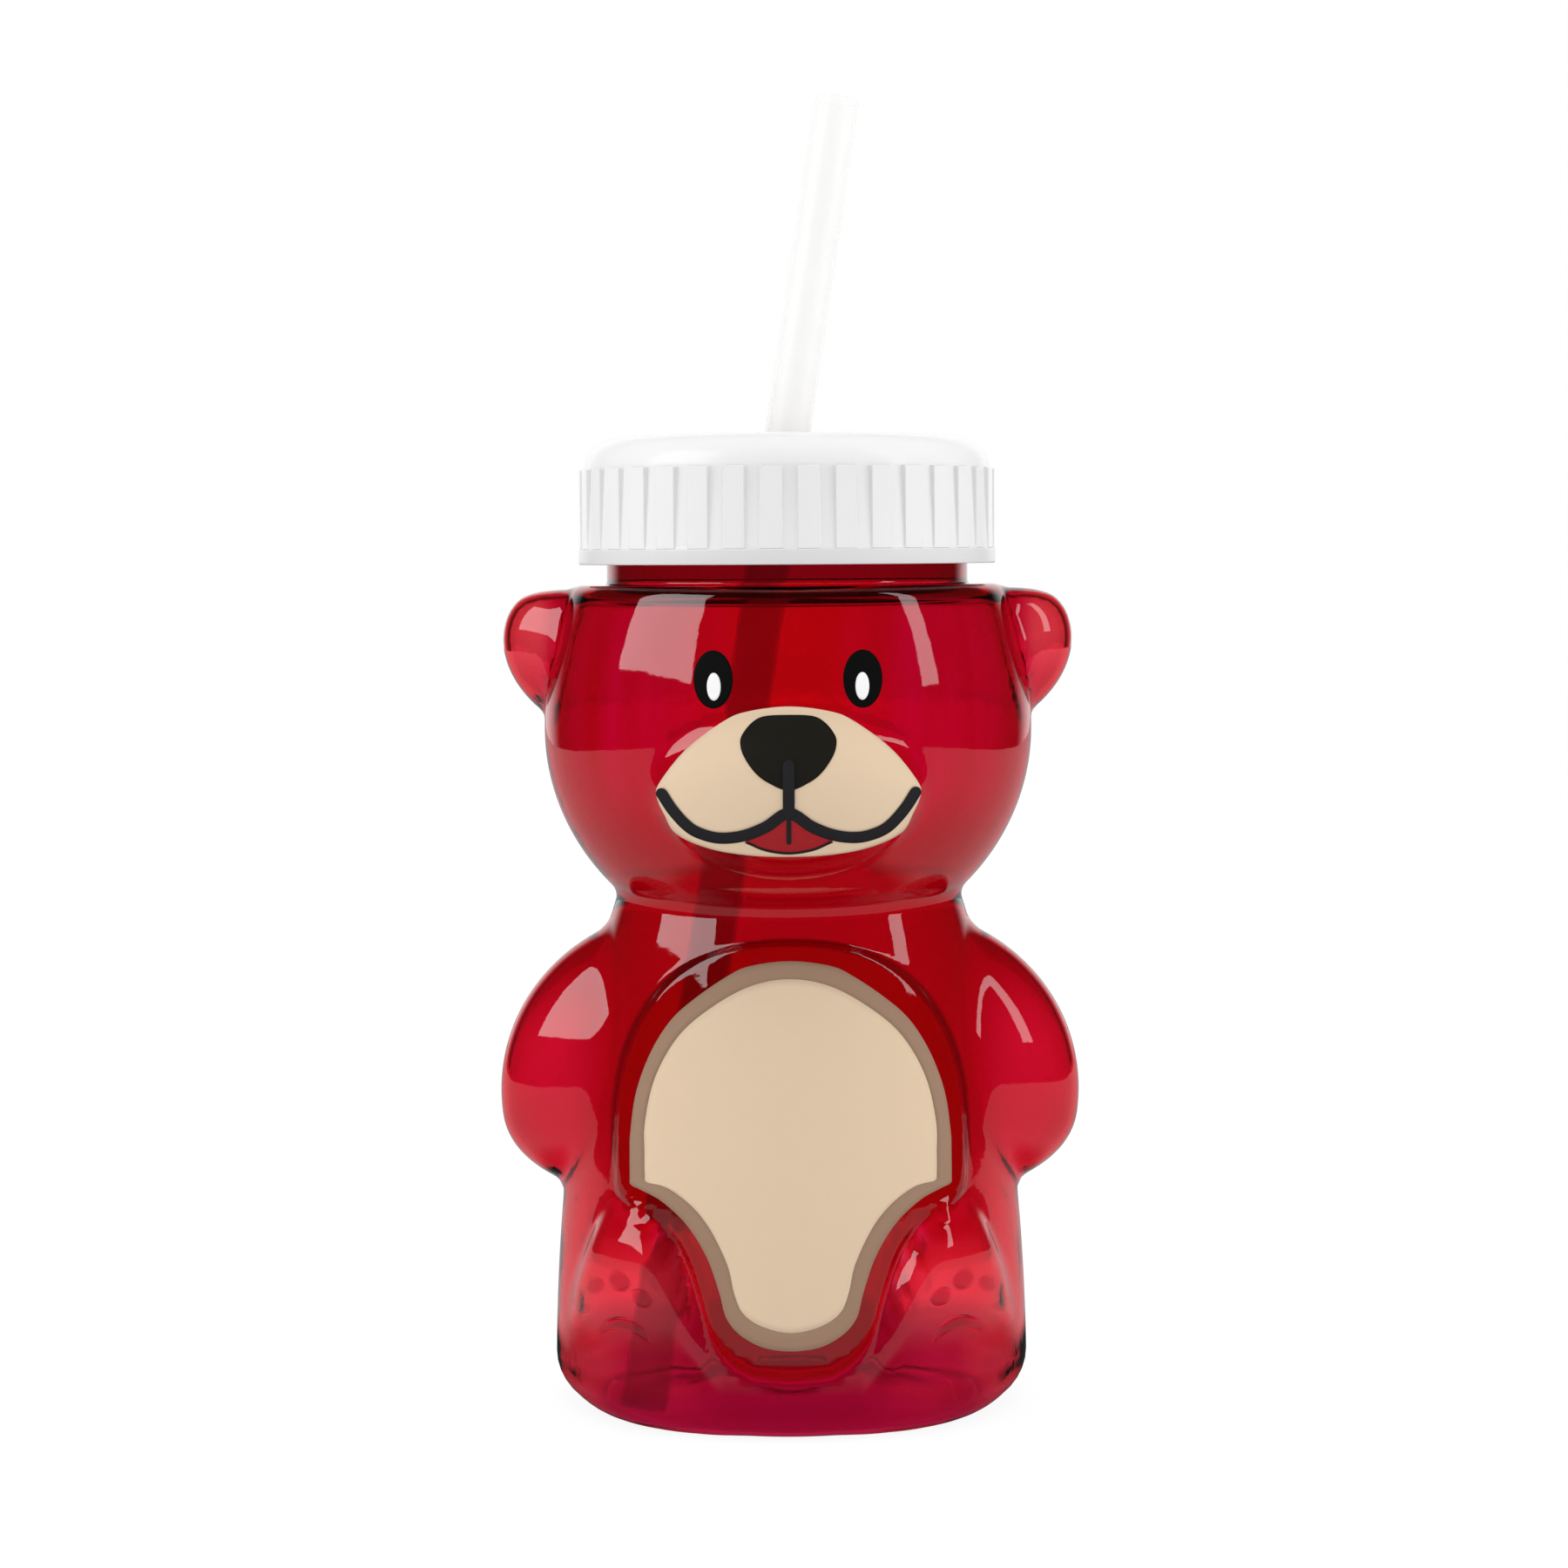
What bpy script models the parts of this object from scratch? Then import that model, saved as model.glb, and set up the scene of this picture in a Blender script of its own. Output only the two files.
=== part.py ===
"""A bear-shaped drinking bottle with a screw lid and a straw.

Metres, +Z up. The origin is the centre of the base, the bear faces -Y and stands on Z = 0.
"""

import functools
import math

import bmesh
import bpy
import numpy as np
from mathutils import Matrix, Vector

MM = 0.001

# Neck and wall of the moulded body.
NECK_RADIUS = 31.95 * MM
NECK_HEIGHT = 21.6 * MM
NECK_WALL = 1.5 * MM
NECK_FILLET = 0.6 * MM
LIP_ROUND = 0.4 * MM
WALL = 1.8 * MM

# The bear: heights are shares of the shoulder height, widths and depths of the head or the torso.
SHOULDER_HEIGHT = 145.5 * MM
HEAD_OVERHANG = 11.25 * MM
HEAD_HALF_WIDTH = NECK_RADIUS + HEAD_OVERHANG
BROW_OVERHANG = 8.05 * MM
HEAD_HALF_DEPTH = NECK_RADIUS + BROW_OVERHANG
TORSO_HALF_WIDTH = 42.2 * MM
TORSO_HALF_DEPTH = 36.5 * MM
SHOULDER_FILLET = 1.6 * MM
WAIST_FILLET = 1.5 * MM
ARM_FILLET = 1.9 * MM
CREASE_FILLET = 1.0 * MM
BASE_FILLET = 7.5 * MM
EAR_TOP_BELOW_SHOULDER = 0.6 * MM
EAR_TOP_FILLET = 2.2 * MM

# Each swell: out, forward, middle, half width, half depth, rise above and drop below its middle.
HEAD_SHARES = (0.0, 0.0, 0.825, 1.0, 1.0, 0.369, 0.278)
MUZZLE_SHARES = (0.0, 0.70, 0.770, 0.556, 0.425, 0.1065, 0.1065)
EAR_SHARES = (0.7315, 0.0, 0.914, 0.449, 0.25, 0.0838, 0.1003)
TORSO_SHARES = (0.0, 0.0, 0.0206, 1.0, 1.0, 0.873, 0.55)
ARM_SHARES = (0.45, 0.0, 0.3814, 0.775, 0.493, 0.22, 0.1306)
LEG_SHARES = (0.654, 0.479, 0.0962, 0.327, 0.52, 0.172, 0.137)
EAR_TILT = -20.5
ARM_TILT = 7.9

# The belly stands a little proud inside a line: (side, height) shares of the torso and the shoulder.
BELLY_RAISE = 0.9 * MM
BELLY_EDGE = 1.6 * MM
BELLY_LINE_SHARES = (
    (0.0, 0.5814),
    (0.22, 0.576),
    (0.40, 0.555),
    (0.55, 0.517),
    (0.66, 0.450),
    (0.705, 0.385),
    (0.718, 0.300),
    (0.69, 0.277),
    (0.60, 0.265),
    (0.51, 0.248),
    (0.43, 0.218),
    (0.375, 0.175),
    (0.325, 0.128),
    (0.23, 0.094),
    (0.12, 0.081),
    (0.0, 0.078),
)

# Lid, seal and thread.
SEAT_GAP = 0.3 * MM
SEAL_THICKNESS = 1.2 * MM
SEAL_WIDTH = 2.2 * MM
SEAL_OVERHANG = 0.15 * MM
THREAD_PITCH = 5.0 * MM
THREAD_TURNS = 1.25
THREAD_ROUND = 1.25 * MM
THREAD_STAND = 0.25 * MM
THREAD_BELOW_LIP = 2.6 * MM
THREAD_CLEARANCE = 0.35 * MM
THREAD_TIP_SHARE = 0.35
LID_BORE_CLEARANCE = 0.55 * MM
LID_RIM_GAP = 3.6 * MM
LID_WALL = 1.9 * MM
LID_TOP_THICKNESS = 2.4 * MM
LID_DOME_RISE = 0.7 * MM
LID_CORNER = 5.7 * MM
LID_INNER_CORNER = 1.8 * MM
LID_SKIRT_DRAFT = 0.6 * MM
LID_BAND_HEIGHT = 2.7 * MM
LID_BAND_PROUD = 0.15 * MM
LID_EDGE_ROUND = 0.3 * MM
RIB_COUNT = 36
RIB_FIRST_ANGLE = -4.2
RIB_WIDTH = 3.75 * MM
RIB_HEIGHT = 0.85 * MM
RIB_SINK = 0.5 * MM

# Straw: its foot stands in the bear's right foot and it leaves through the middle of the lid.
STRAW_RADIUS = 4.0 * MM
STRAW_WALL = 0.5 * MM
STRAW_LENGTH = 233.0 * MM
STRAW_HOLE_CLEARANCE = 0.3 * MM
FOOT_SIDE_SHARE = -0.61
FOOT_FORWARD_SHARE = -0.58
FOOT_CLEARANCE = 0.35 * MM

# Printed layers. A box holds a half width as a share of the torso's or the head's, then a height and
# a bottom as shares of the shoulder height. An outline holds (side, height) shares of its box.
INK = 0.2 * MM
INK_GAP = 0.3 * MM
PRINT_REACH_SHARE = 0.6
BELLY_BORDER = 2.6 * MM
BELLY_BOX_SHARES = (0.654, 0.4502, 0.1113)
BORDER_SHARES = (
    (0.0, 1.0),
    (0.25, 0.986),
    (0.594, 0.898),
    (0.87, 0.751),
    (0.975, 0.618),
    (1.0, 0.488),
    (0.996, 0.408),
    (0.79, 0.373),
    (0.64, 0.318),
    (0.518, 0.237),
    (0.442, 0.147),
    (0.402, 0.084),
    (0.30, 0.037),
    (0.16, 0.009),
    (0.0, 0.0),
)
MUZZLE_BOX_SHARES = (0.5139, 0.1725, 0.6900)
MUZZLE_OUTLINE_SHARES = (
    (0.0, 1.0),
    (0.30, 0.968),
    (0.56, 0.874),
    (0.77, 0.713),
    (0.93, 0.530),
    (1.0, 0.394),
    (0.94, 0.27),
    (0.80, 0.145),
    (0.60, 0.056),
    (0.30, 0.008),
    (0.0, 0.0),
)
NOSE_BOX_SHARES = (0.1852, 0.0845, 0.7684)
NOSE_SHARES = (
    (0.0, 1.0),
    (0.45, 0.985),
    (0.82, 0.88),
    (1.0, 0.63),
    (0.90, 0.40),
    (0.62, 0.19),
    (0.30, 0.045),
    (0.0, 0.0),
)
TONGUE_BOX_SHARES = (0.1435, 0.0357, 0.6942)
TONGUE_SHARES = ((0.0, 1.0), (1.0, 0.38), (0.60, 0.12), (0.0, 0.0))

# The mouth's box starts at the middle of the lips, which the bar joins to the nose.
MOUTH_LINE = 1.95 * MM
MOUTH_BAR_SHARE = 0.7656
MOUTH_BOX_SHARES = (0.4931, 0.0302, 0.7423)
MOUTH_SHARES = (
    (0.0, 0.0),
    (0.18, -0.54),
    (0.36, -0.89),
    (0.52, -1.0),
    (0.66, -0.92),
    (0.79, -0.65),
    (0.90, -0.10),
    (1.0, 0.62),
)

# Each oval: side and half width as shares of the head's, level and half height of the shoulder height.
EYE_SHARES = (0.2894, 0.8935, 0.0764, 0.0333)
GLINT_SHARES = (0.2894, 0.8856, 0.0266, 0.0158)

# Mesh density.
COLUMNS = 44
SIDE_CROWDING = 0.12
LID_STEPS = 60
STRAW_STEPS = 24
THREAD_STEPS = 30
CORNER_STEPS = 4
INNER_CORNER_STEPS = 2
BELLY_LINE_STEPS = 4
PRINT_STEPS = 2
OVAL_STEPS = 20
STRAW_ROUNDS = 5
WELD = 0.001 * MM

# Rays that draw the skin: origin height share, elevation, rows up to there.
SKIN_STRETCHES = (
    (0.172, -52.0, 1),
    (0.172, -31.0, 5),
    (0.271, 0.0, 5),
    (0.567, 0.0, 8),
    (0.6165, 0.0, 3),
    (0.770, 0.0, 5),
    (0.770, 13.0, 2),
)
SKIN_START = (0.172, -90.0)
CROWN_STEPS = 8
MARCH_STEPS = 120
HALVING_STEPS = 30
BASE_STEPS = 2
CREASE_SPREAD_SHARE = 0.5

MIRROR = np.array([-1, 1])

# Levels worked out from the sizes above.
LIP_HEIGHT = SHOULDER_HEIGHT + NECK_HEIGHT
SEAL_BOTTOM = LIP_HEIGHT + SEAT_GAP
SEAL_TOP = SEAL_BOTTOM + SEAL_THICKNESS
LID_UNDERSIDE = SEAL_TOP + SEAT_GAP
LID_TOP_EDGE = LID_UNDERSIDE + LID_TOP_THICKNESS
LID_RIM = SHOULDER_HEIGHT + LID_RIM_GAP
BORE_RADIUS = NECK_RADIUS + THREAD_STAND + THREAD_ROUND + LID_BORE_CLEARANCE
SKIRT_TOP_RADIUS = BORE_RADIUS + LID_WALL
RIB_RADIUS = SKIRT_TOP_RADIUS + RIB_HEIGHT
BAND_RADIUS = RIB_RADIUS + LID_BAND_PROUD


def put_collection(name):
    group = bpy.data.collections.new(name)
    bpy.context.scene.collection.children.link(group)
    return group


def material(name, colour, roughness, alpha=1.0):
    made = bpy.data.materials.new(name)
    made.use_nodes = True
    shader = made.node_tree.nodes["Principled BSDF"]
    shader.inputs["Base Color"].default_value = (*colour, 1.0)
    shader.inputs["Roughness"].default_value = roughness
    shader.inputs["Metallic"].default_value = 0.0
    shader.inputs["Alpha"].default_value = alpha
    return made


def put(name, mesh, group, paint=None, smooth_angle=35.0):
    thing = bpy.data.objects.new(name, mesh)
    group.objects.link(thing)
    if paint is None:
        thing.hide_render = True
        thing.display_type = "WIRE"
    else:
        mesh.materials.append(paint)
        mesh.shade_smooth()
        mesh.set_sharp_from_angle(angle=math.radians(smooth_angle))
    return thing


def boolean(thing, other, operation):
    step = thing.modifiers.new(f"{operation.lower()}_{other.name}", "BOOLEAN")
    step.operation = operation
    step.object = other
    step.solver = "EXACT"


# The bear's form is a signed distance, below zero inside.
def swell(points, shares, half_width, half_depth, tilt=0.0):
    out, forward, middle, wide, deep, rise, drop = shares
    angle = math.radians(tilt)
    across = np.abs(points[:, 0]) - out * half_width
    above = points[:, 2] - middle * SHOULDER_HEIGHT
    side = across * math.cos(angle) - above * math.sin(angle)
    height = across * math.sin(angle) + above * math.cos(angle)
    reach_x = wide * half_width
    reach_y = deep * half_depth
    reach_z = np.where(height > 0, rise, drop) * SHOULDER_HEIGHT
    x = side / reach_x
    y = (points[:, 1] + forward * half_depth) / reach_y
    z = height / reach_z
    length = np.sqrt(x * x + y * y + z * z)
    slope = np.sqrt((x / reach_x) ** 2 + (y / reach_y) ** 2 + (z / reach_z) ** 2)
    return length * (length - 1) / np.maximum(slope, WELD)


def join(first, second, fillet):
    near = np.maximum(fillet - first, 0)
    other = np.maximum(fillet - second, 0)
    return np.maximum(fillet, np.minimum(first, second)) - np.sqrt(near**2 + other**2)


def trim(first, second, fillet):
    return -join(-first, -second, fillet)


def smooth_outline(shares, width, height, steps):
    """Closed (x, z) points through the shares and their mirror image, as a Catmull-Rom curve."""
    half = [(x * width, z * height) for x, z in shares]
    mirror = [(-x, z) for x, z in reversed(half) if abs(x) > WELD]
    knots = np.array(half + mirror)
    before, after = np.roll(knots, 1, axis=0), np.roll(knots, -1, axis=0)
    beyond = np.roll(knots, -2, axis=0)
    rows = []
    for t in np.linspace(0, 1, steps, endpoint=False):
        bend = after - before
        far = beyond - knots
        rows.append(
            (2 * t**3 - 3 * t**2 + 1) * knots
            + (t**3 - 2 * t**2 + t) * bend / 2
            + (3 * t**2 - 2 * t**3) * after
            + (t**3 - t**2) * far / 2
        )
    return np.stack(rows, axis=1).reshape(-1, 2)


def inside_depth(points, outline):
    """How far each (x, z) lies inside the outline, below zero outside it."""
    nearest = np.full(len(points), np.inf)
    odd = np.zeros(len(points), bool)
    for start, end in zip(outline, np.roll(outline, -1, axis=0)):
        edge = end - start
        away = points - start
        along = np.clip(away @ edge / (edge @ edge), 0, 1)
        nearest = np.minimum(nearest, np.linalg.norm(away - along[:, None] * edge, axis=1))
        spans = (start[1] > points[:, 1]) != (end[1] > points[:, 1])
        rise = np.where(edge[1] == 0, WELD, edge[1])
        odd ^= spans & (away[:, 0] < edge[0] * away[:, 1] / rise)
    return np.where(odd, nearest, -nearest)


BELLY_LINE = smooth_outline(BELLY_LINE_SHARES, TORSO_HALF_WIDTH, SHOULDER_HEIGHT, BELLY_LINE_STEPS)


def belly_raise(points):
    raised = np.zeros(len(points))
    front = points[:, 1] < 0
    depth = inside_depth(points[front][:, [0, 2]], BELLY_LINE)
    t = np.clip(depth / BELLY_EDGE + 0.5, 0, 1)
    raised[front] = BELLY_RAISE * t * t * (3 - 2 * t)
    return raised


def form(points):
    head = swell(points, HEAD_SHARES, HEAD_HALF_WIDTH, HEAD_HALF_DEPTH)
    muzzle = swell(points, MUZZLE_SHARES, HEAD_HALF_WIDTH, HEAD_HALF_DEPTH)
    ears = swell(points, EAR_SHARES, HEAD_HALF_WIDTH, HEAD_HALF_DEPTH, EAR_TILT)
    ears = trim(ears, points[:, 2] - SHOULDER_HEIGHT + EAR_TOP_BELOW_SHOULDER, EAR_TOP_FILLET)
    head = join(head, muzzle, CREASE_FILLET)
    head = trim(head, points[:, 2] - SHOULDER_HEIGHT, SHOULDER_FILLET)
    head = join(head, ears, CREASE_FILLET)
    torso = swell(points, TORSO_SHARES, TORSO_HALF_WIDTH, TORSO_HALF_DEPTH)
    arms = swell(points, ARM_SHARES, TORSO_HALF_WIDTH, TORSO_HALF_DEPTH, ARM_TILT)
    legs = swell(points, LEG_SHARES, TORSO_HALF_WIDTH, TORSO_HALF_DEPTH)
    torso = join(torso, arms, ARM_FILLET)
    torso = join(torso, legs, CREASE_FILLET) - belly_raise(points)
    torso = trim(torso, -points[:, 2], BASE_FILLET)
    return join(head, torso, WAIST_FILLET)


def azimuths():
    turn = np.linspace(0, 2 * math.pi, COLUMNS + 1)
    return turn + SIDE_CROWDING * np.sin(2 * turn)


def ring(radius, height):
    turn = azimuths()
    return np.stack([radius * np.sin(turn), -radius * np.cos(turn), np.full(len(turn), height)], -1)


def stations(inside):
    """Origin height and elevation of each row of rays, from the base's middle to the neck."""
    ceiling = SHOULDER_HEIGHT - (WALL if inside else 0)
    neck = NECK_RADIUS - (NECK_WALL if inside else 0)
    height, elevation = SKIN_START
    rows = [(height * SHOULDER_HEIGHT, elevation)]
    last = SKIN_STRETCHES[-1][0]
    crown = math.atan2(ceiling - last * SHOULDER_HEIGHT, neck + NECK_FILLET)
    for end, final, count in (*SKIN_STRETCHES, (last, math.degrees(crown), CROWN_STEPS)):
        for step in range(1, count + 1):
            share = step / count
            origin = height + (end - height) * share
            rows.append((origin * SHOULDER_HEIGHT, elevation + (final - elevation) * share))
        height, elevation = end, final
    return rows


def directions(angles, turn):
    x, y = np.cos(angles) * np.sin(turn), -np.cos(angles) * np.cos(turn)
    return np.stack([x, y, np.sin(angles) + 0 * turn], -1).reshape(-1, 3)


def reaches(heights, ways, offset):
    """How far each ray goes before it last leaves the form grown by the offset."""
    starts = np.zeros_like(ways)
    starts[:, 2] = heights
    farthest = HEAD_HALF_WIDTH + TORSO_HALF_WIDTH
    inner = np.zeros(len(ways))
    outer = np.full(len(ways), farthest)
    found = np.zeros(len(ways), bool)
    for reach in np.linspace(farthest, 0, MARCH_STEPS):
        within = (form(starts + ways * reach) < offset) & ~found
        inner[within] = reach
        found |= within
        outer[~found] = reach
    for _ in range(HALVING_STEPS):
        middle = (inner + outer) / 2
        within = form(starts + ways * middle[:, None]) < offset
        inner = np.where(within, middle, inner)
        outer = np.where(within, outer, middle)
    return inner


@functools.lru_cache(maxsize=None)
def skin(inside, offset):
    """The form's surface grown by the offset, as rows by columns by 3. Inside, creases are kept thick."""
    rows = stations(inside)
    turn = azimuths()
    heights = np.repeat([height for height, _ in rows], len(turn))
    angles = np.radians([elevation for _, elevation in rows])[:, None]
    spread = CREASE_SPREAD_SHARE * 2 * math.pi / COLUMNS
    nearest = reaches(heights, directions(angles, turn), offset)
    for shift in (-spread, spread) if inside else ():
        nearest = np.minimum(nearest, reaches(heights, directions(angles, turn + shift), offset))
    points = directions(angles, turn) * nearest[:, None]
    points[:, 2] += heights
    return points.reshape(len(rows), len(turn), 3)


def sheet(name, points):
    """A grid whose points are moved to their places, with coinciding ones made one."""
    rows, columns = points.shape[:2]
    work = bmesh.new()
    bmesh.ops.create_grid(work, x_segments=columns - 1, y_segments=rows - 1, size=1)
    for vert in work.verts:
        row = round((vert.co.y + 1) / 2 * (rows - 1))
        column = round((vert.co.x + 1) / 2 * (columns - 1))
        vert.co = points[row, column]
    bmesh.ops.remove_doubles(work, verts=work.verts, dist=WELD)
    bmesh.ops.recalc_face_normals(work, faces=work.faces)
    mesh = bpy.data.meshes.new(name)
    work.to_mesh(mesh)
    work.free()
    return mesh


def mesh_of_curve(name, curve):
    """A closed mesh from a curve, with its caps welded."""
    guide = bpy.data.objects.new(name, curve)
    bpy.context.scene.collection.objects.link(guide)
    bpy.context.view_layer.update()
    mesh = bpy.data.meshes.new_from_object(guide.evaluated_get(bpy.context.evaluated_depsgraph_get()))
    bpy.data.objects.remove(guide)
    work = bmesh.new()
    work.from_mesh(mesh)
    bmesh.ops.remove_doubles(work, verts=work.verts, dist=WELD)
    bmesh.ops.recalc_face_normals(work, faces=work.faces)
    work.to_mesh(mesh)
    work.free()
    return mesh


def thread_ridge(name, radius, bottom, cutters):
    """A right-hand helical ridge with tapered ends."""
    curve = bpy.data.curves.new(name, "CURVE")
    curve.dimensions = "3D"
    curve.bevel_depth = THREAD_ROUND
    curve.bevel_resolution = 1
    curve.use_fill_caps = True
    spline = curve.splines.new("POLY")
    count = round(THREAD_TURNS * THREAD_STEPS) + 1
    spline.points.add(count - 1)
    for index, point in enumerate(spline.points):
        turns = THREAD_TURNS * index / (count - 1)
        angle = 2 * math.pi * turns
        height = bottom + THREAD_PITCH * turns
        point.co = (radius * math.sin(angle), -radius * math.cos(angle), height, 1)
        if index in (0, count - 1):
            point.radius = THREAD_TIP_SHARE
    return put(name, mesh_of_curve(name, curve), cutters)


def make_body(group, cutters):
    outside = skin(False, 0)
    inside = skin(True, -WALL)[::-1]
    bore = NECK_RADIUS - NECK_WALL
    neck = [
        ring(NECK_RADIUS, SHOULDER_HEIGHT + NECK_FILLET),
        ring(NECK_RADIUS, LIP_HEIGHT - LIP_ROUND),
        ring(NECK_RADIUS - LIP_ROUND, LIP_HEIGHT),
        ring(bore + LIP_ROUND, LIP_HEIGHT),
        ring(bore, LIP_HEIGHT - LIP_ROUND),
        ring(bore, SHOULDER_HEIGHT - WALL + NECK_FILLET),
    ]
    mesh = sheet("bear_body", np.concatenate([outside, np.array(neck), inside]))
    red = material("red_clear_plastic", (0.55, 0.005, 0.02), 0.05, 0.55)
    body = put("bear_body", mesh, group, red)
    ridge = thread_ridge(
        "neck_thread",
        NECK_RADIUS + THREAD_STAND,
        LIP_HEIGHT - THREAD_BELOW_LIP - THREAD_TURNS * THREAD_PITCH,
        cutters,
    )
    boolean(body, ridge, "UNION")
    return body


def turned(name, profile, steps, group, paint):
    """A solid turned about Z from a closed outline of (radius, height) points."""
    work = bmesh.new()
    verts = [work.verts.new((radius, 0, height)) for radius, height in profile]
    for start, end in zip(verts, verts[1:] + verts[:1]):
        work.edges.new((start, end))
    mesh = bpy.data.meshes.new(name)
    work.to_mesh(mesh)
    work.free()
    thing = put(name, mesh, group, paint)
    screw = thing.modifiers.new("turn", "SCREW")
    screw.steps = screw.render_steps = steps
    screw.use_merge_vertices = True
    screw.merge_threshold = WELD
    screw.use_smooth_shade = False
    return thing


def arc(centre, radius, start, end, steps):
    angles = [math.radians(start + (end - start) * i / steps) for i in range(steps + 1)]
    return [(centre[0] + radius * math.cos(a), centre[1] + radius * math.sin(a)) for a in angles]


def straw_line():
    """The straw's foot and its direction, which passes through the middle of the lid's top."""
    side = FOOT_SIDE_SHARE * TORSO_HALF_WIDTH
    forward = FOOT_FORWARD_SHARE * TORSO_HALF_DEPTH
    lid_middle = (LID_UNDERSIDE + LID_TOP_EDGE + LID_DOME_RISE) / 2
    level = WALL
    for _ in range(STRAW_ROUNDS):
        way = Vector((-side, -forward, lid_middle - level)).normalized()
        level = WALL + FOOT_CLEARANCE + STRAW_RADIUS * math.hypot(way.x, way.y)
    return Vector((side, forward, level)), way


def hole_radius():
    _, way = straw_line()
    lean = math.hypot(way.x, way.y) / way.z
    thickness = LID_TOP_THICKNESS + LID_DOME_RISE
    return STRAW_RADIUS / way.z + lean * thickness / 2 + STRAW_HOLE_CLEARANCE


def lid_profile():
    hole = hole_radius()
    corner_middle = (SKIRT_TOP_RADIUS - LID_CORNER, LID_TOP_EDGE - LID_CORNER)
    inner_middle = (BORE_RADIUS - LID_INNER_CORNER, LID_UNDERSIDE - LID_INNER_CORNER)
    crown = LID_TOP_EDGE + LID_DOME_RISE
    band_top = LID_RIM + LID_BAND_HEIGHT
    halfway = (hole + corner_middle[0]) / 2
    points = [
        (hole, crown - LID_EDGE_ROUND),
        (hole + LID_EDGE_ROUND, crown),
        (halfway, LID_TOP_EDGE + LID_DOME_RISE * 3 / 4),
    ]
    points += arc(corner_middle, LID_CORNER, 90, 0, CORNER_STEPS)
    points += [
        (SKIRT_TOP_RADIUS + LID_SKIRT_DRAFT, band_top),
        (BAND_RADIUS - LID_EDGE_ROUND, band_top),
        (BAND_RADIUS, band_top - LID_EDGE_ROUND),
        (BAND_RADIUS, LID_RIM + LID_EDGE_ROUND),
        (BAND_RADIUS - LID_EDGE_ROUND, LID_RIM),
        (BORE_RADIUS, LID_RIM),
    ]
    points += arc(inner_middle, LID_INNER_CORNER, 0, 90, INNER_CORNER_STEPS)
    points.append((hole, LID_UNDERSIDE))
    return points


def make_ribs(cutters):
    """All ribs in one mesh, each a box sunk into the skirt and the band."""
    top = LID_TOP_EDGE - LID_CORNER
    bottom = LID_RIM + LID_BAND_HEIGHT - RIB_SINK
    depth = RIB_HEIGHT + RIB_SINK
    work = bmesh.new()
    for index in range(RIB_COUNT):
        angle = math.radians(RIB_FIRST_ANGLE + 360 / RIB_COUNT * index)
        place = Matrix.Rotation(angle, 4, "Z") @ Matrix.Translation(
            (0, depth / 2 - RIB_RADIUS, (top + bottom) / 2)
        )
        size = Matrix.Diagonal((RIB_WIDTH, depth, top - bottom, 1))
        bmesh.ops.create_cube(work, size=1, matrix=place @ size)
    mesh = bpy.data.meshes.new("lid_ribs")
    work.to_mesh(mesh)
    work.free()
    return put("lid_ribs", mesh, cutters)


def make_lid(group, cutters):
    white = material("white_plastic", (0.85, 0.85, 0.86), 0.35)
    lid = turned("lid", lid_profile(), LID_STEPS, group, white)
    boolean(lid, make_ribs(cutters), "UNION")
    ridge_radius = BORE_RADIUS - THREAD_STAND
    across = ridge_radius - NECK_RADIUS - THREAD_STAND
    apart = 2 * THREAD_ROUND + THREAD_CLEARANCE
    below = math.sqrt(apart**2 - across**2)
    start = LIP_HEIGHT - THREAD_BELOW_LIP - THREAD_TURNS * THREAD_PITCH - below
    boolean(lid, thread_ridge("lid_thread", ridge_radius, start, cutters), "UNION")
    return lid


def make_seal(group):
    outer = NECK_RADIUS + SEAL_OVERHANG
    inner = outer - SEAL_WIDTH
    profile = [(inner, SEAL_TOP), (outer, SEAL_TOP), (outer, SEAL_BOTTOM), (inner, SEAL_BOTTOM)]
    silicone = material("clear_silicone", (0.80, 0.80, 0.78), 0.5)
    return turned("lid_seal", profile, LID_STEPS, group, silicone)


def make_straw(group):
    foot, way = straw_line()
    bore = STRAW_RADIUS - STRAW_WALL
    profile = [(bore, STRAW_LENGTH), (STRAW_RADIUS, STRAW_LENGTH), (STRAW_RADIUS, 0), (bore, 0)]
    milky = material("milky_plastic", (0.86, 0.85, 0.83), 0.3)
    straw = turned("straw", profile, STRAW_STEPS, group, milky)
    straw.location = foot
    straw.rotation_mode = "QUATERNION"
    straw.rotation_quaternion = way.to_track_quat("Z", "Y")
    return straw


def ink_patch(name, layer, outline, margin, group, paint):
    """A thin sheet that follows the body's skin behind an (x, z) outline, one layer above another."""
    offset = INK_GAP + layer * (INK + INK_GAP)
    points = skin(False, offset)
    middle = COLUMNS // 4
    points = np.concatenate([points[:, -middle - 1 : -1], points[:, : middle + 1]], axis=1)
    (low_x, low_z), (high_x, high_z) = outline.min(axis=0) - margin, outline.max(axis=0) + margin
    x, z = points[:, :, 0], points[:, :, 2]
    facing = slice(BASE_STEPS, len(points))
    columns = np.flatnonzero((x[facing].max(axis=0) > low_x) & (x[facing].min(axis=0) < high_x))
    rows = np.flatnonzero((z.max(axis=1) > low_z) & (z.min(axis=1) < high_z))
    rows = rows[rows >= BASE_STEPS]
    top, bottom = min(rows[-1] + 1, len(points) - 1), rows[0] - 1
    left, right = max(columns[0] - 1, 0), min(columns[-1] + 1, points.shape[1] - 1)
    mesh = sheet(name, points[bottom : top + 1, left : right + 1])
    patch = put(name, mesh, group, paint)
    thicken = patch.modifiers.new("ink", "SOLIDIFY")
    thicken.thickness = INK
    thicken.offset = 1.0 if mesh.polygons[0].normal.y < 0 else -1.0
    return patch


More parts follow.
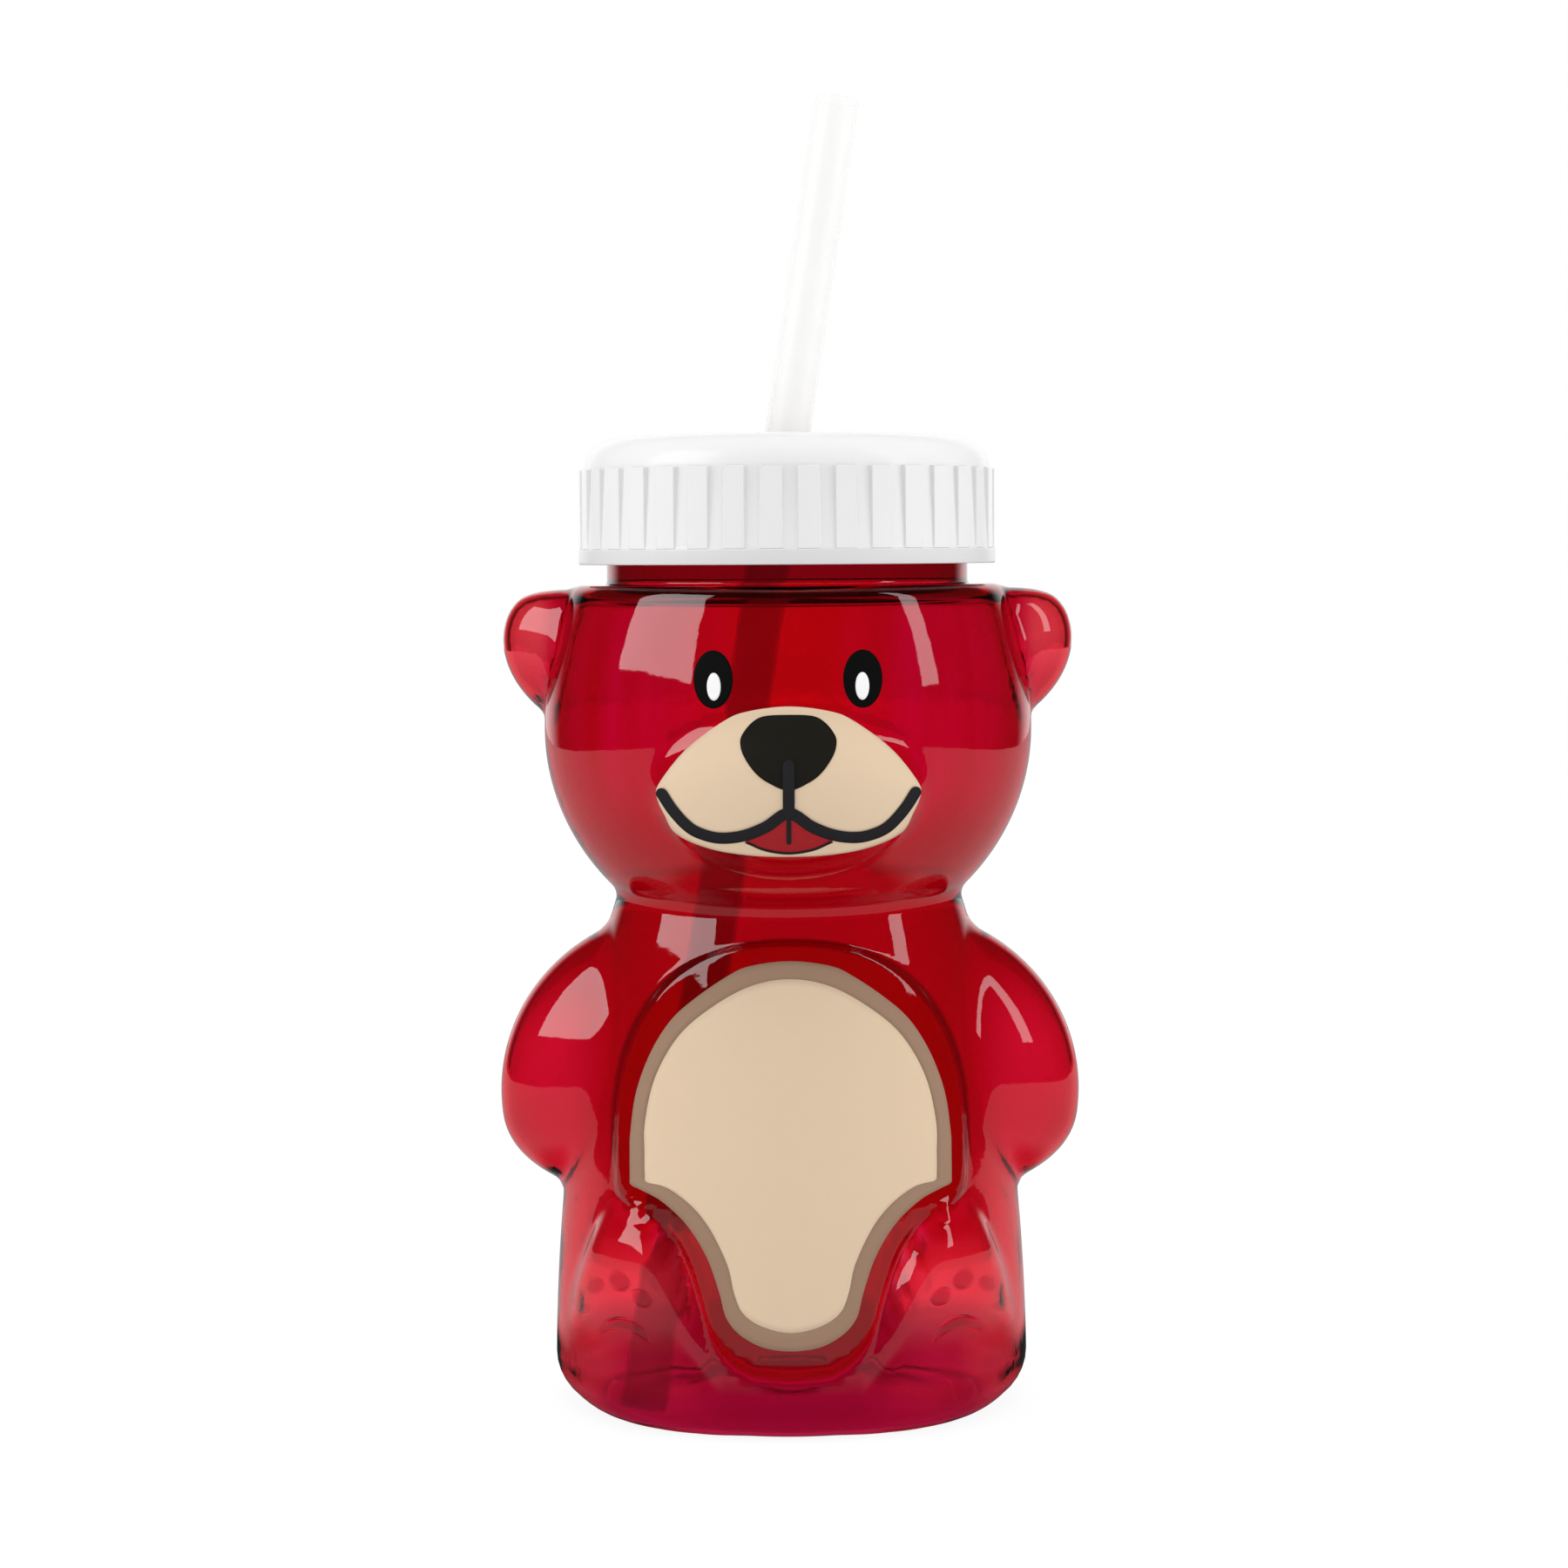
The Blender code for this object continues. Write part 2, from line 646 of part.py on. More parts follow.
def prism(name, outlines, cutters):
    """Closed (x, z) outlines drawn out along Y in front of the bear."""
    curve = bpy.data.curves.new(name, "CURVE")
    curve.dimensions = "2D"
    curve.fill_mode = "BOTH"
    curve.extrude = PRINT_REACH_SHARE * TORSO_HALF_DEPTH
    for outline in outlines:
        spline = curve.splines.new("POLY")
        spline.points.add(len(outline) - 1)
        for point, (x, z) in zip(spline.points, outline):
            point.co = (x, z, 0, 1)
        spline.use_cyclic_u = True
    thing = put(name, mesh_of_curve(name, curve), cutters)
    thing.rotation_euler = (math.pi / 2, 0, 0)
    thing.location = (0, -TORSO_HALF_DEPTH, 0)
    return thing


def print_layer(name, outlines, layer, paint, group, cutters):
    patch = ink_patch(name, layer, outlines[0], 0, group, paint)
    boolean(patch, prism(f"{name}_outline", outlines, cutters), "INTERSECT")
    return patch


def half_print(shares, box_shares, half_width):
    """The points of an outline's left half at its box's size and height."""
    wide, high, bottom = box_shares
    size = np.array([wide * half_width, high * SHOULDER_HEIGHT])
    return np.array(shares) * size + np.array([0, bottom * SHOULDER_HEIGHT])


def smooth_print(shares, box_shares, half_width):
    wide, high, bottom = box_shares
    outline = smooth_outline(shares, wide * half_width, high * SHOULDER_HEIGHT, PRINT_STEPS)
    return outline + np.array([0, bottom * SHOULDER_HEIGHT])


def inset(outline, distance):
    """The outline moved inwards, each point along the mean of its two edges' normals."""
    edges = np.roll(outline, -1, axis=0) - outline
    normals = np.stack([edges[:, 1], -edges[:, 0]], -1)
    normals /= np.linalg.norm(normals, axis=1)[:, None]
    mean = normals + np.roll(normals, 1, axis=0)
    mean /= np.linalg.norm(mean, axis=1)[:, None]
    return outline + mean * distance


def oval(side, shares):
    out, level, wide, high = shares
    turn = np.linspace(0, 2 * math.pi, OVAL_STEPS, endpoint=False)
    x = side * out * HEAD_HALF_WIDTH + wide * HEAD_HALF_WIDTH * np.sin(turn)
    z = level * SHOULDER_HEIGHT + high * SHOULDER_HEIGHT * np.cos(turn)
    return np.stack([x, z], -1)


def stroke(line, width):
    """A closed outline of the given width round an open line, with blunt ends."""
    ways = np.gradient(line, axis=0)
    ways /= np.linalg.norm(ways, axis=1)[:, None]
    across = np.stack([-ways[:, 1], ways[:, 0]], -1) * width / 2
    return np.concatenate([line + across, (line - across)[::-1]])


def make_mouth(paint, group, cutters):
    lip = half_print(MOUTH_SHARES, MOUTH_BOX_SHARES, HEAD_HALF_WIDTH)
    lips = np.concatenate([(lip * MIRROR)[:0:-1], lip])
    mouth = prism("mouth_lips", [stroke(lips, MOUTH_LINE)], cutters)
    bar = np.array([(0, MOUTH_BAR_SHARE * SHOULDER_HEIGHT), lip[0]])
    boolean(mouth, prism("mouth_bar", [stroke(bar, MOUTH_LINE)], cutters), "UNION")
    every = np.concatenate([lips, bar])
    patch = ink_patch("mouth_print", 1, every, MOUTH_LINE, group, paint)
    boolean(patch, mouth, "INTERSECT")


def make_prints(group, cutters):
    tan = material("tan_ink", (0.72, 0.55, 0.39), 0.5)
    brown = material("brown_ink", (0.33, 0.21, 0.14), 0.5)
    black = material("black_ink", (0.008, 0.008, 0.007), 0.4)
    white = material("white_ink", (0.89, 0.89, 0.89), 0.4)
    red = material("tongue_ink", (0.30, 0.018, 0.023), 0.5)
    border = smooth_print(BORDER_SHARES, BELLY_BOX_SHARES, TORSO_HALF_WIDTH)
    edge = inset(border, BELLY_BORDER)
    print_layer("belly_border", [border, edge], 0, brown, group, cutters)
    print_layer("belly_print", [inset(edge, INK_GAP)], 0, tan, group, cutters)
    muzzle = smooth_print(MUZZLE_OUTLINE_SHARES, MUZZLE_BOX_SHARES, HEAD_HALF_WIDTH)
    print_layer("muzzle_print", [muzzle], 0, tan, group, cutters)
    nose = smooth_print(NOSE_SHARES, NOSE_BOX_SHARES, HEAD_HALF_WIDTH)
    print_layer("nose_print", [nose], 1, black, group, cutters)
    tongue = half_print(TONGUE_SHARES, TONGUE_BOX_SHARES, HEAD_HALF_WIDTH)
    tongue = np.concatenate([tongue, tongue[-2:0:-1] * MIRROR])
    print_layer("tongue_print", [tongue], 1, red, group, cutters)
    make_mouth(black, group, cutters)
    for side, name in ((-1, "right"), (1, "left")):
        print_layer(f"eye_{name}", [oval(side, EYE_SHARES)], 0, black, group, cutters)
        print_layer(f"eye_glint_{name}", [oval(side, GLINT_SHARES)], 1, white, group, cutters)


def main():
    for thing in list(bpy.data.objects):
        bpy.data.objects.remove(thing)
    group = put_collection("bear_straw_bottle")
    cutters = put_collection("cutters")
    make_body(group, cutters)
    make_lid(group, cutters)
    make_seal(group)
    make_straw(group)
    make_prints(group, cutters)
    bpy.context.view_layer.update()


main()
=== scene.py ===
"""A clear red bear bottle with a printed face, a white screw lid and a milky straw.

Sizes are in millimetres, but for the lights, and are turned into metres when a mesh is made. The
bear faces -Y.
"""

import math

import bmesh
import bpy
import numpy as np
from mathutils import Matrix, Vector


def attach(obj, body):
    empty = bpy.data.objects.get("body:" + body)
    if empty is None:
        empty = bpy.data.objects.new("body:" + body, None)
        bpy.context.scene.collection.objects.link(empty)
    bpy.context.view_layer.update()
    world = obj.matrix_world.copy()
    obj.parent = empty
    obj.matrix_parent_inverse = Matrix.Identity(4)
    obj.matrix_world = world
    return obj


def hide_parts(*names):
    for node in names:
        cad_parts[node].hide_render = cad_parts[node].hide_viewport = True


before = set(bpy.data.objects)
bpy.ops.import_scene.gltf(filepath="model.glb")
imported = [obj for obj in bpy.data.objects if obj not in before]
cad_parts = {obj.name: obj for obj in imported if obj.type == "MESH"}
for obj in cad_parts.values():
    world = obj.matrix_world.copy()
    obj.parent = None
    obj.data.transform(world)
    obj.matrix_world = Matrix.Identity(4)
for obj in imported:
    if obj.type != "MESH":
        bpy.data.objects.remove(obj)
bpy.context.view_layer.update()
scene = bpy.context.scene

MM = 0.001
TINY = 1e-6
# Points nearer than this are made one.
MERGE = 0.0005

# Wall and neck of the moulded body, and the heights of its shoulder and lip.
WALL = 1.2
SHOULDER = 145.5
LIP = 167.1
LIP_ROUND = 0.4
NECK_RADIUS = 31.95
NECK_WALL = 1.5
NECK_FILLET = 0.6
NECK_ROWS = 32
NECK_INNER_ROWS = 10
NECK_INNER_MARGIN = 1.0

# Threads: a round ridge partly sunk in the wall, which fades in and out over this share of a turn.
THREAD_PITCH = 5.0
THREAD_TURNS = 1.25
THREAD_ROUND = 1.25
THREAD_STAND = 0.25
THREAD_SUNK = 0.35
THREAD_TAPER = 0.12
THREAD_BELOW_LIP = 2.6
LID_THREAD_BELOW_NECK = 2.78

# The bear's swells: centre, half sizes across and deep, rise above and drop below, tilt in degrees.
HEAD = ((0, 0, 120.04), (43.2, 40.0), 53.69, 40.45, 0)
MUZZLE = ((0, -28.0, 112.04), (24.02, 17.0), 15.5, 15.5, 0)
EAR = ((31.6, 0, 132.99), (19.4, 10.0), 12.19, 14.59, -20.5)
TORSO = ((0, 0, 3.0), (42.2, 36.5), 127.02, 80.03, 0)
ARM = ((18.99, 0, 55.49), (32.71, 17.99), 32.01, 19.0, 7.9)
LEG = ((13.5, -9.5, 29.5), (26.0, 27.0), 18.0, 60.0, 0)
SHOULDER_FILLET = 1.6
WAIST_FILLET = 1.5
ARM_FILLET = 1.9
LEG_FILLET = 1.2
MUZZLE_FILLET = 1.2
EAR_FILLET = 1.0
# Each foot ends at two slanting lines, the second along the belly: normal, reach and fillet.
FOOT_LINES = ((0.932, 0.362, 44.3, 2.0), (-0.913, 0.407, -4.7, 6.0))
# The base's corner in front and at the sides.
BASE_FILLET = (5.5, 8.8)
EAR_TOP = 144.9
EAR_TOP_FILLET = 2.2
# The wall thins towards the base, from this height down to this share.
BASE_WALL_RISE = 16.0
BASE_WALL_SHARE = 0.5
# The underside is hollowed, so that the bottle stands on a ring.
PUSH_UP = 2.4
PUSH_UP_RADIUS = 29.0
NORMAL_STEP = 0.02

# The raised belly, the grid that holds its relief, and half of its line as (side, height).
BELLY_RAISE = 1.3
BELLY_EDGE = 0.9
RELIEF_REACH = 48.0
RELIEF_TOP = 90.0
RELIEF_STEP = 0.25
RELIEF_MARGIN = 0.001
BELLY_LINE = (
    (0, 84.6), (9.3, 83.8), (16.9, 80.8), (23.2, 75.2), (27.9, 65.5), (29.8, 56.0),
    (30.3, 43.7), (29.1, 40.3), (25.3, 38.6), (21.5, 36.1), (18.1, 31.7), (15.8, 25.5),
    (13.7, 18.6), (9.7, 13.7), (5.1, 11.8), (0, 11.3),
)

# The upper edge of the belly as a rounded arch: height of its middle, half width, half height, power.
BELLY_ARCH = (50.0, 30.3, 34.6, 2.3)
# Its painted dark line, shade that the steep edge shows: where it fades, as shares of the arch, where
# it begins and how strong it is.
BELLY_EDGE_SHADE_LINE = (0.006, 0.026)
BELLY_ARCH_ABOVE = (44.0, 50.0)
BELLY_EDGE_SHADE_SHARE = 0.85

# Marks of the toes as (side, height, half width, half height, tilt in degrees).
TOES = (
    (36.2, 20.4, 1.7, 0.95, 30),
    (33.6, 25.2, 2.0, 1.15, 45),
    (29.2, 26.9, 1.9, 1.7, 0),
    (25.3, 24.4, 1.8, 1.4, -20),
)
# The pad of each foot is a crescent between two circles: side, height, radius.
PAD_OUTER = (28.6, 16.0, 4.5)
PAD_INNER = (28.6, 12.5, 6.1)
# How softly the marks end, as shares of their size.
PAD_OUTER_EDGE = (0.93, 1.05)
PAD_INNER_EDGE = (0.95, 1.04)
TOE_EDGE = (0.75, 1.15)
# The marks tip upward: steepness, the pad's level of no relief, and the sides past which none tips.
TOE_TIP = 0.08
PAD_TIP = 0.12
PAD_LEVEL = 18.6
TIPS_UP_TO = (30.0, 33.0)

# Rays that draw the skin: height of the origin, elevation, rows up to there.
SKIN_START = (25.0, -90.0)
SKIN_STRETCHES = (
    (25.0, -52.0, 6),
    (25.0, -31.0, 22),
    (39.4, 0.0, 24),
    (82.5, 0.0, 62),
    (89.7, 0.0, 16),
    (112.0, 0.0, 40),
    (112.0, 13.0, 12),
)
CROWN_ROWS = 52
INNER_ROW_STEP = 3
# Columns crowd towards the front. A ray is searched from its far end inwards, then by halves.
COLUMNS = 256
FRONT_CROWDING = 0.6
FARTHEST = 90.0
MARCH_STEPS = 70
HALVING_STEPS = 22

# Seal.
SEAL_BOTTOM = 167.4
SEAL_TOP = 168.6
SEAL_OUTER = 32.1
SEAL_INNER = 29.9
SEAL_ROUND = 0.3
SEAL_TURN_STEPS = 160

# Lid: heights, radii and rounded corners. The corner's arc stops short of level and of upright.
LID_UNDERSIDE = 168.9
LID_EDGE = 171.3
LID_CROWN = 172.0
LID_RIM = 149.1
LID_BORE = 34.0
LID_SKIRT = 35.9
LID_DRAFT = 0.6
LID_BAND_HEIGHT = 2.7
LID_BAND = 36.9
LID_CORNER = 5.7
LID_CORNER_ENDS = (88, 8)
LID_INNER_CORNER = 1.8
LID_HOLE = 4.75
LID_HOLE_ROUND = 0.4
LID_RIM_ROUND = 0.3
LID_CROWN_STEPS = 15
LID_BORE_STEPS = 44
LID_BORE_MARGIN = 2.0
LID_SHARP = 38

# Ribs: the first one's azimuth in degrees, and how wide each is and how far out it comes.
RIB_COUNT = 36
RIB_FIRST = -4.2
RIB_HALF_WIDTH = 1.87
RIB_SIDE = 0.3
RIB_RADIUS = 36.75
RIB_STEPS = 14
# Rows of the skirt: above the ribs, how far the even ones keep off the ribs' foot and top, and
# how far out and up from the band the ribs' last two lie.
RIB_TOP_ROWS = (0.3, 0.12)
RIB_MARGINS = (0.5, 0.3)
RIB_FOOT_ROWS = ((0.0, 0.25), (0.05, 0.05))

# What a row of the lid is: an even circle, one with ribs or one with a thread.
EVEN, RIBBED, THREADED = "even", "ribbed", "threaded"

# Straw: its foot, the way that it leans, and its sizes.
STRAW_FOOT = (-25.742, -21.170, 2.931)
STRAW_WAY = (0.150712, 0.123944, 0.980777)
STRAW_RADIUS = 4.0
STRAW_WALL = 0.5
STRAW_LENGTH = 233.0
STRAW_STEPS = 24
STRAW_TURN_STEPS = 96

# Halves of the printed outlines as (side, height), top to bottom.
BELLY_CENTRE = (0.0, 47.0)
BORDER_OUTLINE = (
    (0, 81.7), (6.9, 80.8), (10.9, 78.9), (16.4, 75.0), (20.5, 71.1), (24.0, 65.4),
    (26.5, 58.5), (27.5, 51.6), (27.6, 48.2), (27.6, 44.2), (27.45, 42.9), (25.5, 42.2),
    (21.9, 40.6), (17.7, 37.0), (14.3, 31.7), (12.2, 25.8), (11.1, 21.7), (8.8, 18.9),
    (4.8, 16.8), (0, 16.2),
)
BELLY_OUTLINE = (
    (0, 78.7), (6.9, 77.4), (13.7, 73.5), (19.1, 68.6), (23.1, 61.5), (24.9, 53.8),
    (25.0, 48.5), (24.95, 44.6), (24.6, 43.6), (21.2, 43.1), (17.0, 40.4), (13.7, 36.5),
    (10.8, 30.6), (9.7, 25.9), (8.2, 22.5), (4.8, 20.3), (0, 19.3),
)
MUZZLE_CENTRE = (0.0, 111.0)
MUZZLE_OUTLINE = (
    (0, 125.5), (6.7, 124.7), (10.7, 123.1), (17.1, 118.3), (21.6, 112.7), (22.2, 110.3),
    (20.9, 107.2), (18.9, 103.8), (13.4, 101.6), (6.8, 100.6), (0, 100.4),
)
NOSE_CENTRE = (0.0, 119.0)
NOSE_OUTLINE = (
    (0, 124.1), (4.0, 123.9), (6.0, 122.9), (7.6, 121.0), (8.0, 119.5), (7.4, 117.4),
    (5.5, 114.7), (3.2, 113.0), (0, 111.8),
)
TONGUE_CENTRE = (0.0, 104.0)
TONGUE_OUTLINE = ((0, 107.6), (3.8, 105.6), (7.1, 103.2), (6.8, 102.6), (4.0, 101.6), (0, 101.0))
MOUTH_HALF_LINE = 0.975
MOUTH_SIDE = (
    (0, 108.0), (3.8, 105.7), (7.3, 104.2), (10.8, 103.6), (13.6, 103.9), (16.5, 105.1),
    (19.2, 107.8), (21.3, 110.8),
)
MOUTH_BAR = ((0, 115.9), (0, 108.0))
TONGUE_FOLD = ((0, 107.2), (0, 103.0))
TONGUE_FOLD_HALF_LINE = 0.4
TONGUE_EDGE = ((-6.9, 102.9), (-4.0, 101.6), (0, 101.0), (4.0, 101.6), (6.9, 102.9))
TONGUE_EDGE_HALF_LINE = 0.18
EYE = (12.5, 130.0, 3.3, 4.85)
GLINT = (12.4, 128.8, 1.15, 2.3)
INK_THICK = 0.08
# How far each print lies off the skin, and what some lines of the mouth add to that.
BELLY_LIFT = 0.07
FACE_LIFT = 0.04
UPPER_LIFT = 0.16
MOUTH_LIFT = 0.28
MOUTH_BAR_LIFT = 0.1
TONGUE_FOLD_LIFT = -0.02
PATCH_COLUMNS = 361
STROKE_ROWS = 5
STROKE_END_STEPS = 6

# Tints of the clear plastic as linear red, green and blue. A pair is the two ends of a mottle.
HEAD_MIDDLE_TINTS = ((0.75, 0.07, 0.17), (0.77, 0.08, 0.20))
HEAD_FLANK_TINTS = ((0.715, 0.05, 0.31), (0.775, 0.09, 0.56))
# The torso and base tints are the plastic's own with painted shade, darker towards the bottom, for the
# bottle's shadow on the table seen through it.
TORSO_SHADED_TINT = (0.63, 0.04, 0.20)
BASE_SHADED_TINT = (0.64, 0.05, 0.40)
# Painted reflections of the table, which make the lower arms, the feet and the legs' sides pale.
ARM_TABLE_REFLECTION_TINT = (0.80, 0.22, 0.50)
FOOT_TABLE_REFLECTION_TINT = (0.97, 0.60, 0.74)
# Painted shade on the toe and pad marks, whose relief would mirror the dark room.
MARK_SHADE_TINT = (0.72, 0.01, 0.32)
# Painted reflection of the white sweep, which makes the ears pale.
EAR_SWEEP_REFLECTION_TINT = (0.93, 0.82, 0.84)
# Painted shade of the lid on the neck.
NECK_SHADE_TINT = (0.52, 0.08, 0.30)
# Painted shade along the belly's upper edge.
BELLY_EDGE_SHADE_TINT = (0.16, 0.0, 0.04)
ABSORPTION_TINT = (0.878, 0.028, 0.132)
ABSORPTION = 1200.0

# Where the tints change, from start to end: away from the middle plane, above the base or along Y.
FLANK_FROM = (4.0, 24.0)
HEAD_ABOVE = (95.0, 112.0)
TORSO_ABOVE = (4.0, 22.0)
EAR_FROM = (39.5, 44.5)
EAR_ABOVE = (123.0, 137.0)
ARM_FROM = (28.0, 42.0)
ARM_ABOVE = (34.0, 46.0)
ARM_UP_TO = (64.0, 84.0)
FOOT_FROM = (12.0, 26.0)
FOOT_ABOVE = (3.0, 14.0)
FOOT_UP_TO = (26.0, 36.0)
LEG_SIDE_FROM = (30.0, 38.0)
LEG_SIDE_UP_TO = (34.0, 50.0)
LEG_SIDE_REFLECTION_SHARE = 0.8
NECK_ABOVE = (144.8, 146.2)
FRONT_UP_TO = (-12.0, -4.0)

# Colours of the lid, its seal and the straw, and the painted shade on the lid's band and along the two
# flanks of each rib.
LID_TINTS = ((0.80, 0.80, 0.803), (0.83, 0.83, 0.832))
LID_BAND_SHADE_TINT = (0.70, 0.70, 0.702)
RIB_FLANK_SHADE_TINTS = ((-1, (0.73, 0.73, 0.732)), (1, (0.77, 0.77, 0.772)))
RIB_FLANK_SHADE_LINE = (0.010, 0.026)
# Where that painted shade ends, from the band's top and from the ribs' top.
BAND_SHADE_END = (-0.3, 0.1)
RIB_SHADE_START = (0.0, 0.4)
RIB_SHADE_END = (-0.3, 0.2)
SEAL_TINTS = ((0.78, 0.78, 0.76), (0.84, 0.84, 0.82))
STRAW_TINTS = ((0.925, 0.918, 0.90), (0.955, 0.95, 0.935))
STRAW_ALPHA = 0.22

# Inks, each with the two ends of its mottle.
TAN = ((0.70, 0.54, 0.38), (0.72, 0.555, 0.395))
BROWN = ((0.318, 0.204, 0.139), (0.334, 0.215, 0.147))
EYE_BLACK = ((0.003, 0.0035, 0.0033), (0.0045, 0.005, 0.0048))
NOSE_BLACK = ((0.011, 0.0105, 0.0075), (0.0135, 0.0128, 0.0095))
LINE_BLACK = ((0.0165, 0.0165, 0.019), (0.020, 0.020, 0.0225))
WHITE = ((0.89, 0.89, 0.89), (0.92, 0.92, 0.92))
TONGUE_RED = ((0.32, 0.017, 0.021), (0.345, 0.019, 0.024))
INK_ROUGHNESS = 0.6

# Camera: its place, its tilts in degrees and its lens.
CAMERA_PLACE = (-0.77, -632.0, 151.7)
CAMERA_DOWN = 3.78
CAMERA_ROLL = -0.33
PHOTO_WIDTH = 1800
FOCAL_PIXELS = 4083
SENSOR = 36.0
CLIP_START = 0.01

# Lights in metres, each with azimuth, distance, lower and upper edge, width, radiance and whether it
# is only mirrored. Azimuth 0 is in front and 90 on the bear's left.
LIGHTS = {
    "softbox_left": (-63.5, 1.0, 0.35, 1.30, 0.75, 4.1, True),
    "strip_right": (66.5, 1.0, 0.29, 1.50, 0.16, 3.6, True),
    "side_left": (-80, 1.0, -0.1, 0.7, 0.5, 2.3, False),
    "side_right": (80, 1.0, -0.1, 0.7, 0.5, 2.2, False),
    "fill": (0, 1.8, 0.1, 1.3, 1.2, 0.27, False),
    "overhead": (0, 0, 0, 1.2, 1.2, 1.27, False),
}
OVERHEAD_PLACE = (0, -0.15, 1.4)

# The room's level where it lights, and where it is mirrored, with a bright sweep at the back.
ROOM_LEVEL = 0.8
DARK_ROOM_LEVEL = 0.02
SWEEP_FROM = (0.68, 0.9)

# The table: its colour, how far back its middle lies, and its half sizes across and deep.
TABLE_GREY = 0.85
TABLE_BACK = 1100.0
TABLE_HALF = (850.0, 1950.0)
# Its glow as the camera sees it, through the bottle and mirrored, and the first two's share of glow.
TABLE_LEVELS = (1.07, 1.0, 0.46)
TABLE_SHARES = (0.85, 0.9)
# Near the bottle the glow is less, a painted shadow of the bottle: by how much through the bottle and
# mirrored, and up to where.
TABLE_SHADOW_LOSSES = (0.12, 0.42)
SHADED_UP_TO = (60.0, 400.0)
NEAR_SHADOW_UP_TO = (70.0, 100.0)


class Value:
    """A socket that carries a number. Sums and products of it add Math nodes."""

    def __init__(self, paint, socket):
        self.paint = paint
        self.socket = socket

    def __add__(self, other):
        return self.paint.calculate("ADD", self, other)

    def __sub__(self, other):
        return self.paint.calculate("SUBTRACT", self, other)

    def __rsub__(self, other):
        return self.paint.calculate("SUBTRACT", other, self)

    def __mul__(self, other):
        return self.paint.calculate("MULTIPLY", self, other)

    def ramp(self, start, end):
        """0 at start and before, 1 at end and after, with soft shoulders."""
        values = {"Value": self, "From Min": start, "From Max": end}
        return self.paint.add("ShaderNodeMapRange", {"interpolation_type": "SMOOTHSTEP"}, values)

    def past(self, start, end):
        """The same ramp for a place, with start and end in millimetres."""
        return self.ramp(start * MM, end * MM)


class Paint:
    """The nodes of a material, or of the world, added one at a time."""

    def __init__(self, name, tree_owner=None):
        self.material = tree_owner or bpy.data.materials.new(name)
        self.material.use_nodes = True
        self.tree = self.material.node_tree
        self.tree.nodes.clear()
        self.place = None

    def add(self, kind, settings=None, sockets=None, output=0):
        """A node with these settings and sockets, as the value of one of its outputs."""
        node = self.tree.nodes.new(kind)
        for key, setting in (settings or {}).items():
            setattr(node, key, setting)
        for key, given in (sockets or {}).items():
            if isinstance(given, Value):
                self.tree.links.new(given.socket, node.inputs[key])
            else:
                node.inputs[key].default_value = given
        return Value(self, node.outputs[output]) if node.outputs else node

    def calculate(self, operation, *values):
        """A Math node."""
        return self.add("ShaderNodeMath", {"operation": operation}, dict(enumerate(values)))

    def where(self):
        """The place on the object, in metres."""
        if self.place is None:
            self.place = self.add("ShaderNodeTexCoord", output="Object")
        return self.place

    def axis(self, name):
        """The place along one axis."""
        return self.add("ShaderNodeSeparateXYZ", None, {0: self.where()}, name)

    def larger(self, first, second):
        return self.calculate("MAXIMUM", first, second)

    def size_of(self, value):
        return self.calculate("ABSOLUTE", value)

    def raised(self, value, power):
        return self.calculate("POWER", value, power)

    def noise(self, size, detail=2.0, roughness=0.5, stretch=(1, 1, 1)):
        """Noise whose features are about this size in millimetres, from 0 to 1."""
        scale = tuple(part / (size * MM) for part in stretch)
        spot = self.add("ShaderNodeMapping", None, {"Vector": self.where(), "Scale": scale})
        values = {"Vector": spot, "Scale": 1.0, "Detail": detail, "Roughness": roughness}
        return self.add("ShaderNodeTexNoise", None, values, "Fac")

    def bump(self, height, distance, below=None):
        """A normal for a height that is worth this many millimetres, over another normal."""
        sockets = {"Height": height, "Distance": distance * MM}
        if below is not None:
            sockets["Normal"] = below
        return self.add("ShaderNodeBump", None, sockets, "Normal")

    def blend(self, share, first, second):
        """From the first colour to the second. Each is a value or linear red, green and blue."""
        first, second = (c if isinstance(c, Value) else rgb(*c) for c in (first, second))
        return self.add("ShaderNodeMix", {"data_type": "RGBA"}, {0: share, 6: first, 7: second}, 2)

    def shade(self, sockets):
        """A surface with these sockets, constants or values."""
        return self.add("ShaderNodeBsdfPrincipled", None, sockets)

    def finish(self, surface, volume=None):
        """The material, with its surface and what fills it."""
        sockets = {"Surface": surface}
        if volume is not None:
            sockets["Volume"] = volume
        self.add("ShaderNodeOutputMaterial", None, sockets)
        return self.material


def rgb(red, green, blue):
    """A linear colour for a socket."""
    return (red, green, blue, 1.0)


def soles(paint, aside, height):
    """The toes and crescent pads of the feet: 1 on them, and a height that tips them upward."""
    flat = paint.add("ShaderNodeCombineXYZ", None, {0: aside, 2: height})

    def away(across, up, wide, high, tilt=0.0):
        place = {
            "Vector": flat,
            "Location": (across * MM, 0, up * MM),
            "Rotation": (0, math.radians(tilt), 0),
            "Scale": (wide * MM, 1, high * MM),
        }
        spot = paint.add("ShaderNodeMapping", {"vector_type": "TEXTURE"}, place)
        return paint.add("ShaderNodeVectorMath", {"operation": "LENGTH"}, {0: spot}, "Value")

    level = height * (1 / MM)
    across, up, radius = PAD_OUTER
    outer = 1 - away(across, up, radius, radius).ramp(*PAD_OUTER_EDGE)
    across, up, radius = PAD_INNER
    marks = outer * away(across, up, radius, radius).ramp(*PAD_INNER_EDGE)
    tips = marks * PAD_TIP * (PAD_LEVEL - level)
    for toe in TOES:
        mark = 1 - away(*toe).ramp(*TOE_EDGE)
        marks = marks + mark
        tips = tips + mark * TOE_TIP * (toe[1] - level)
    return marks, tips * (1 - aside.past(*TIPS_UP_TO))


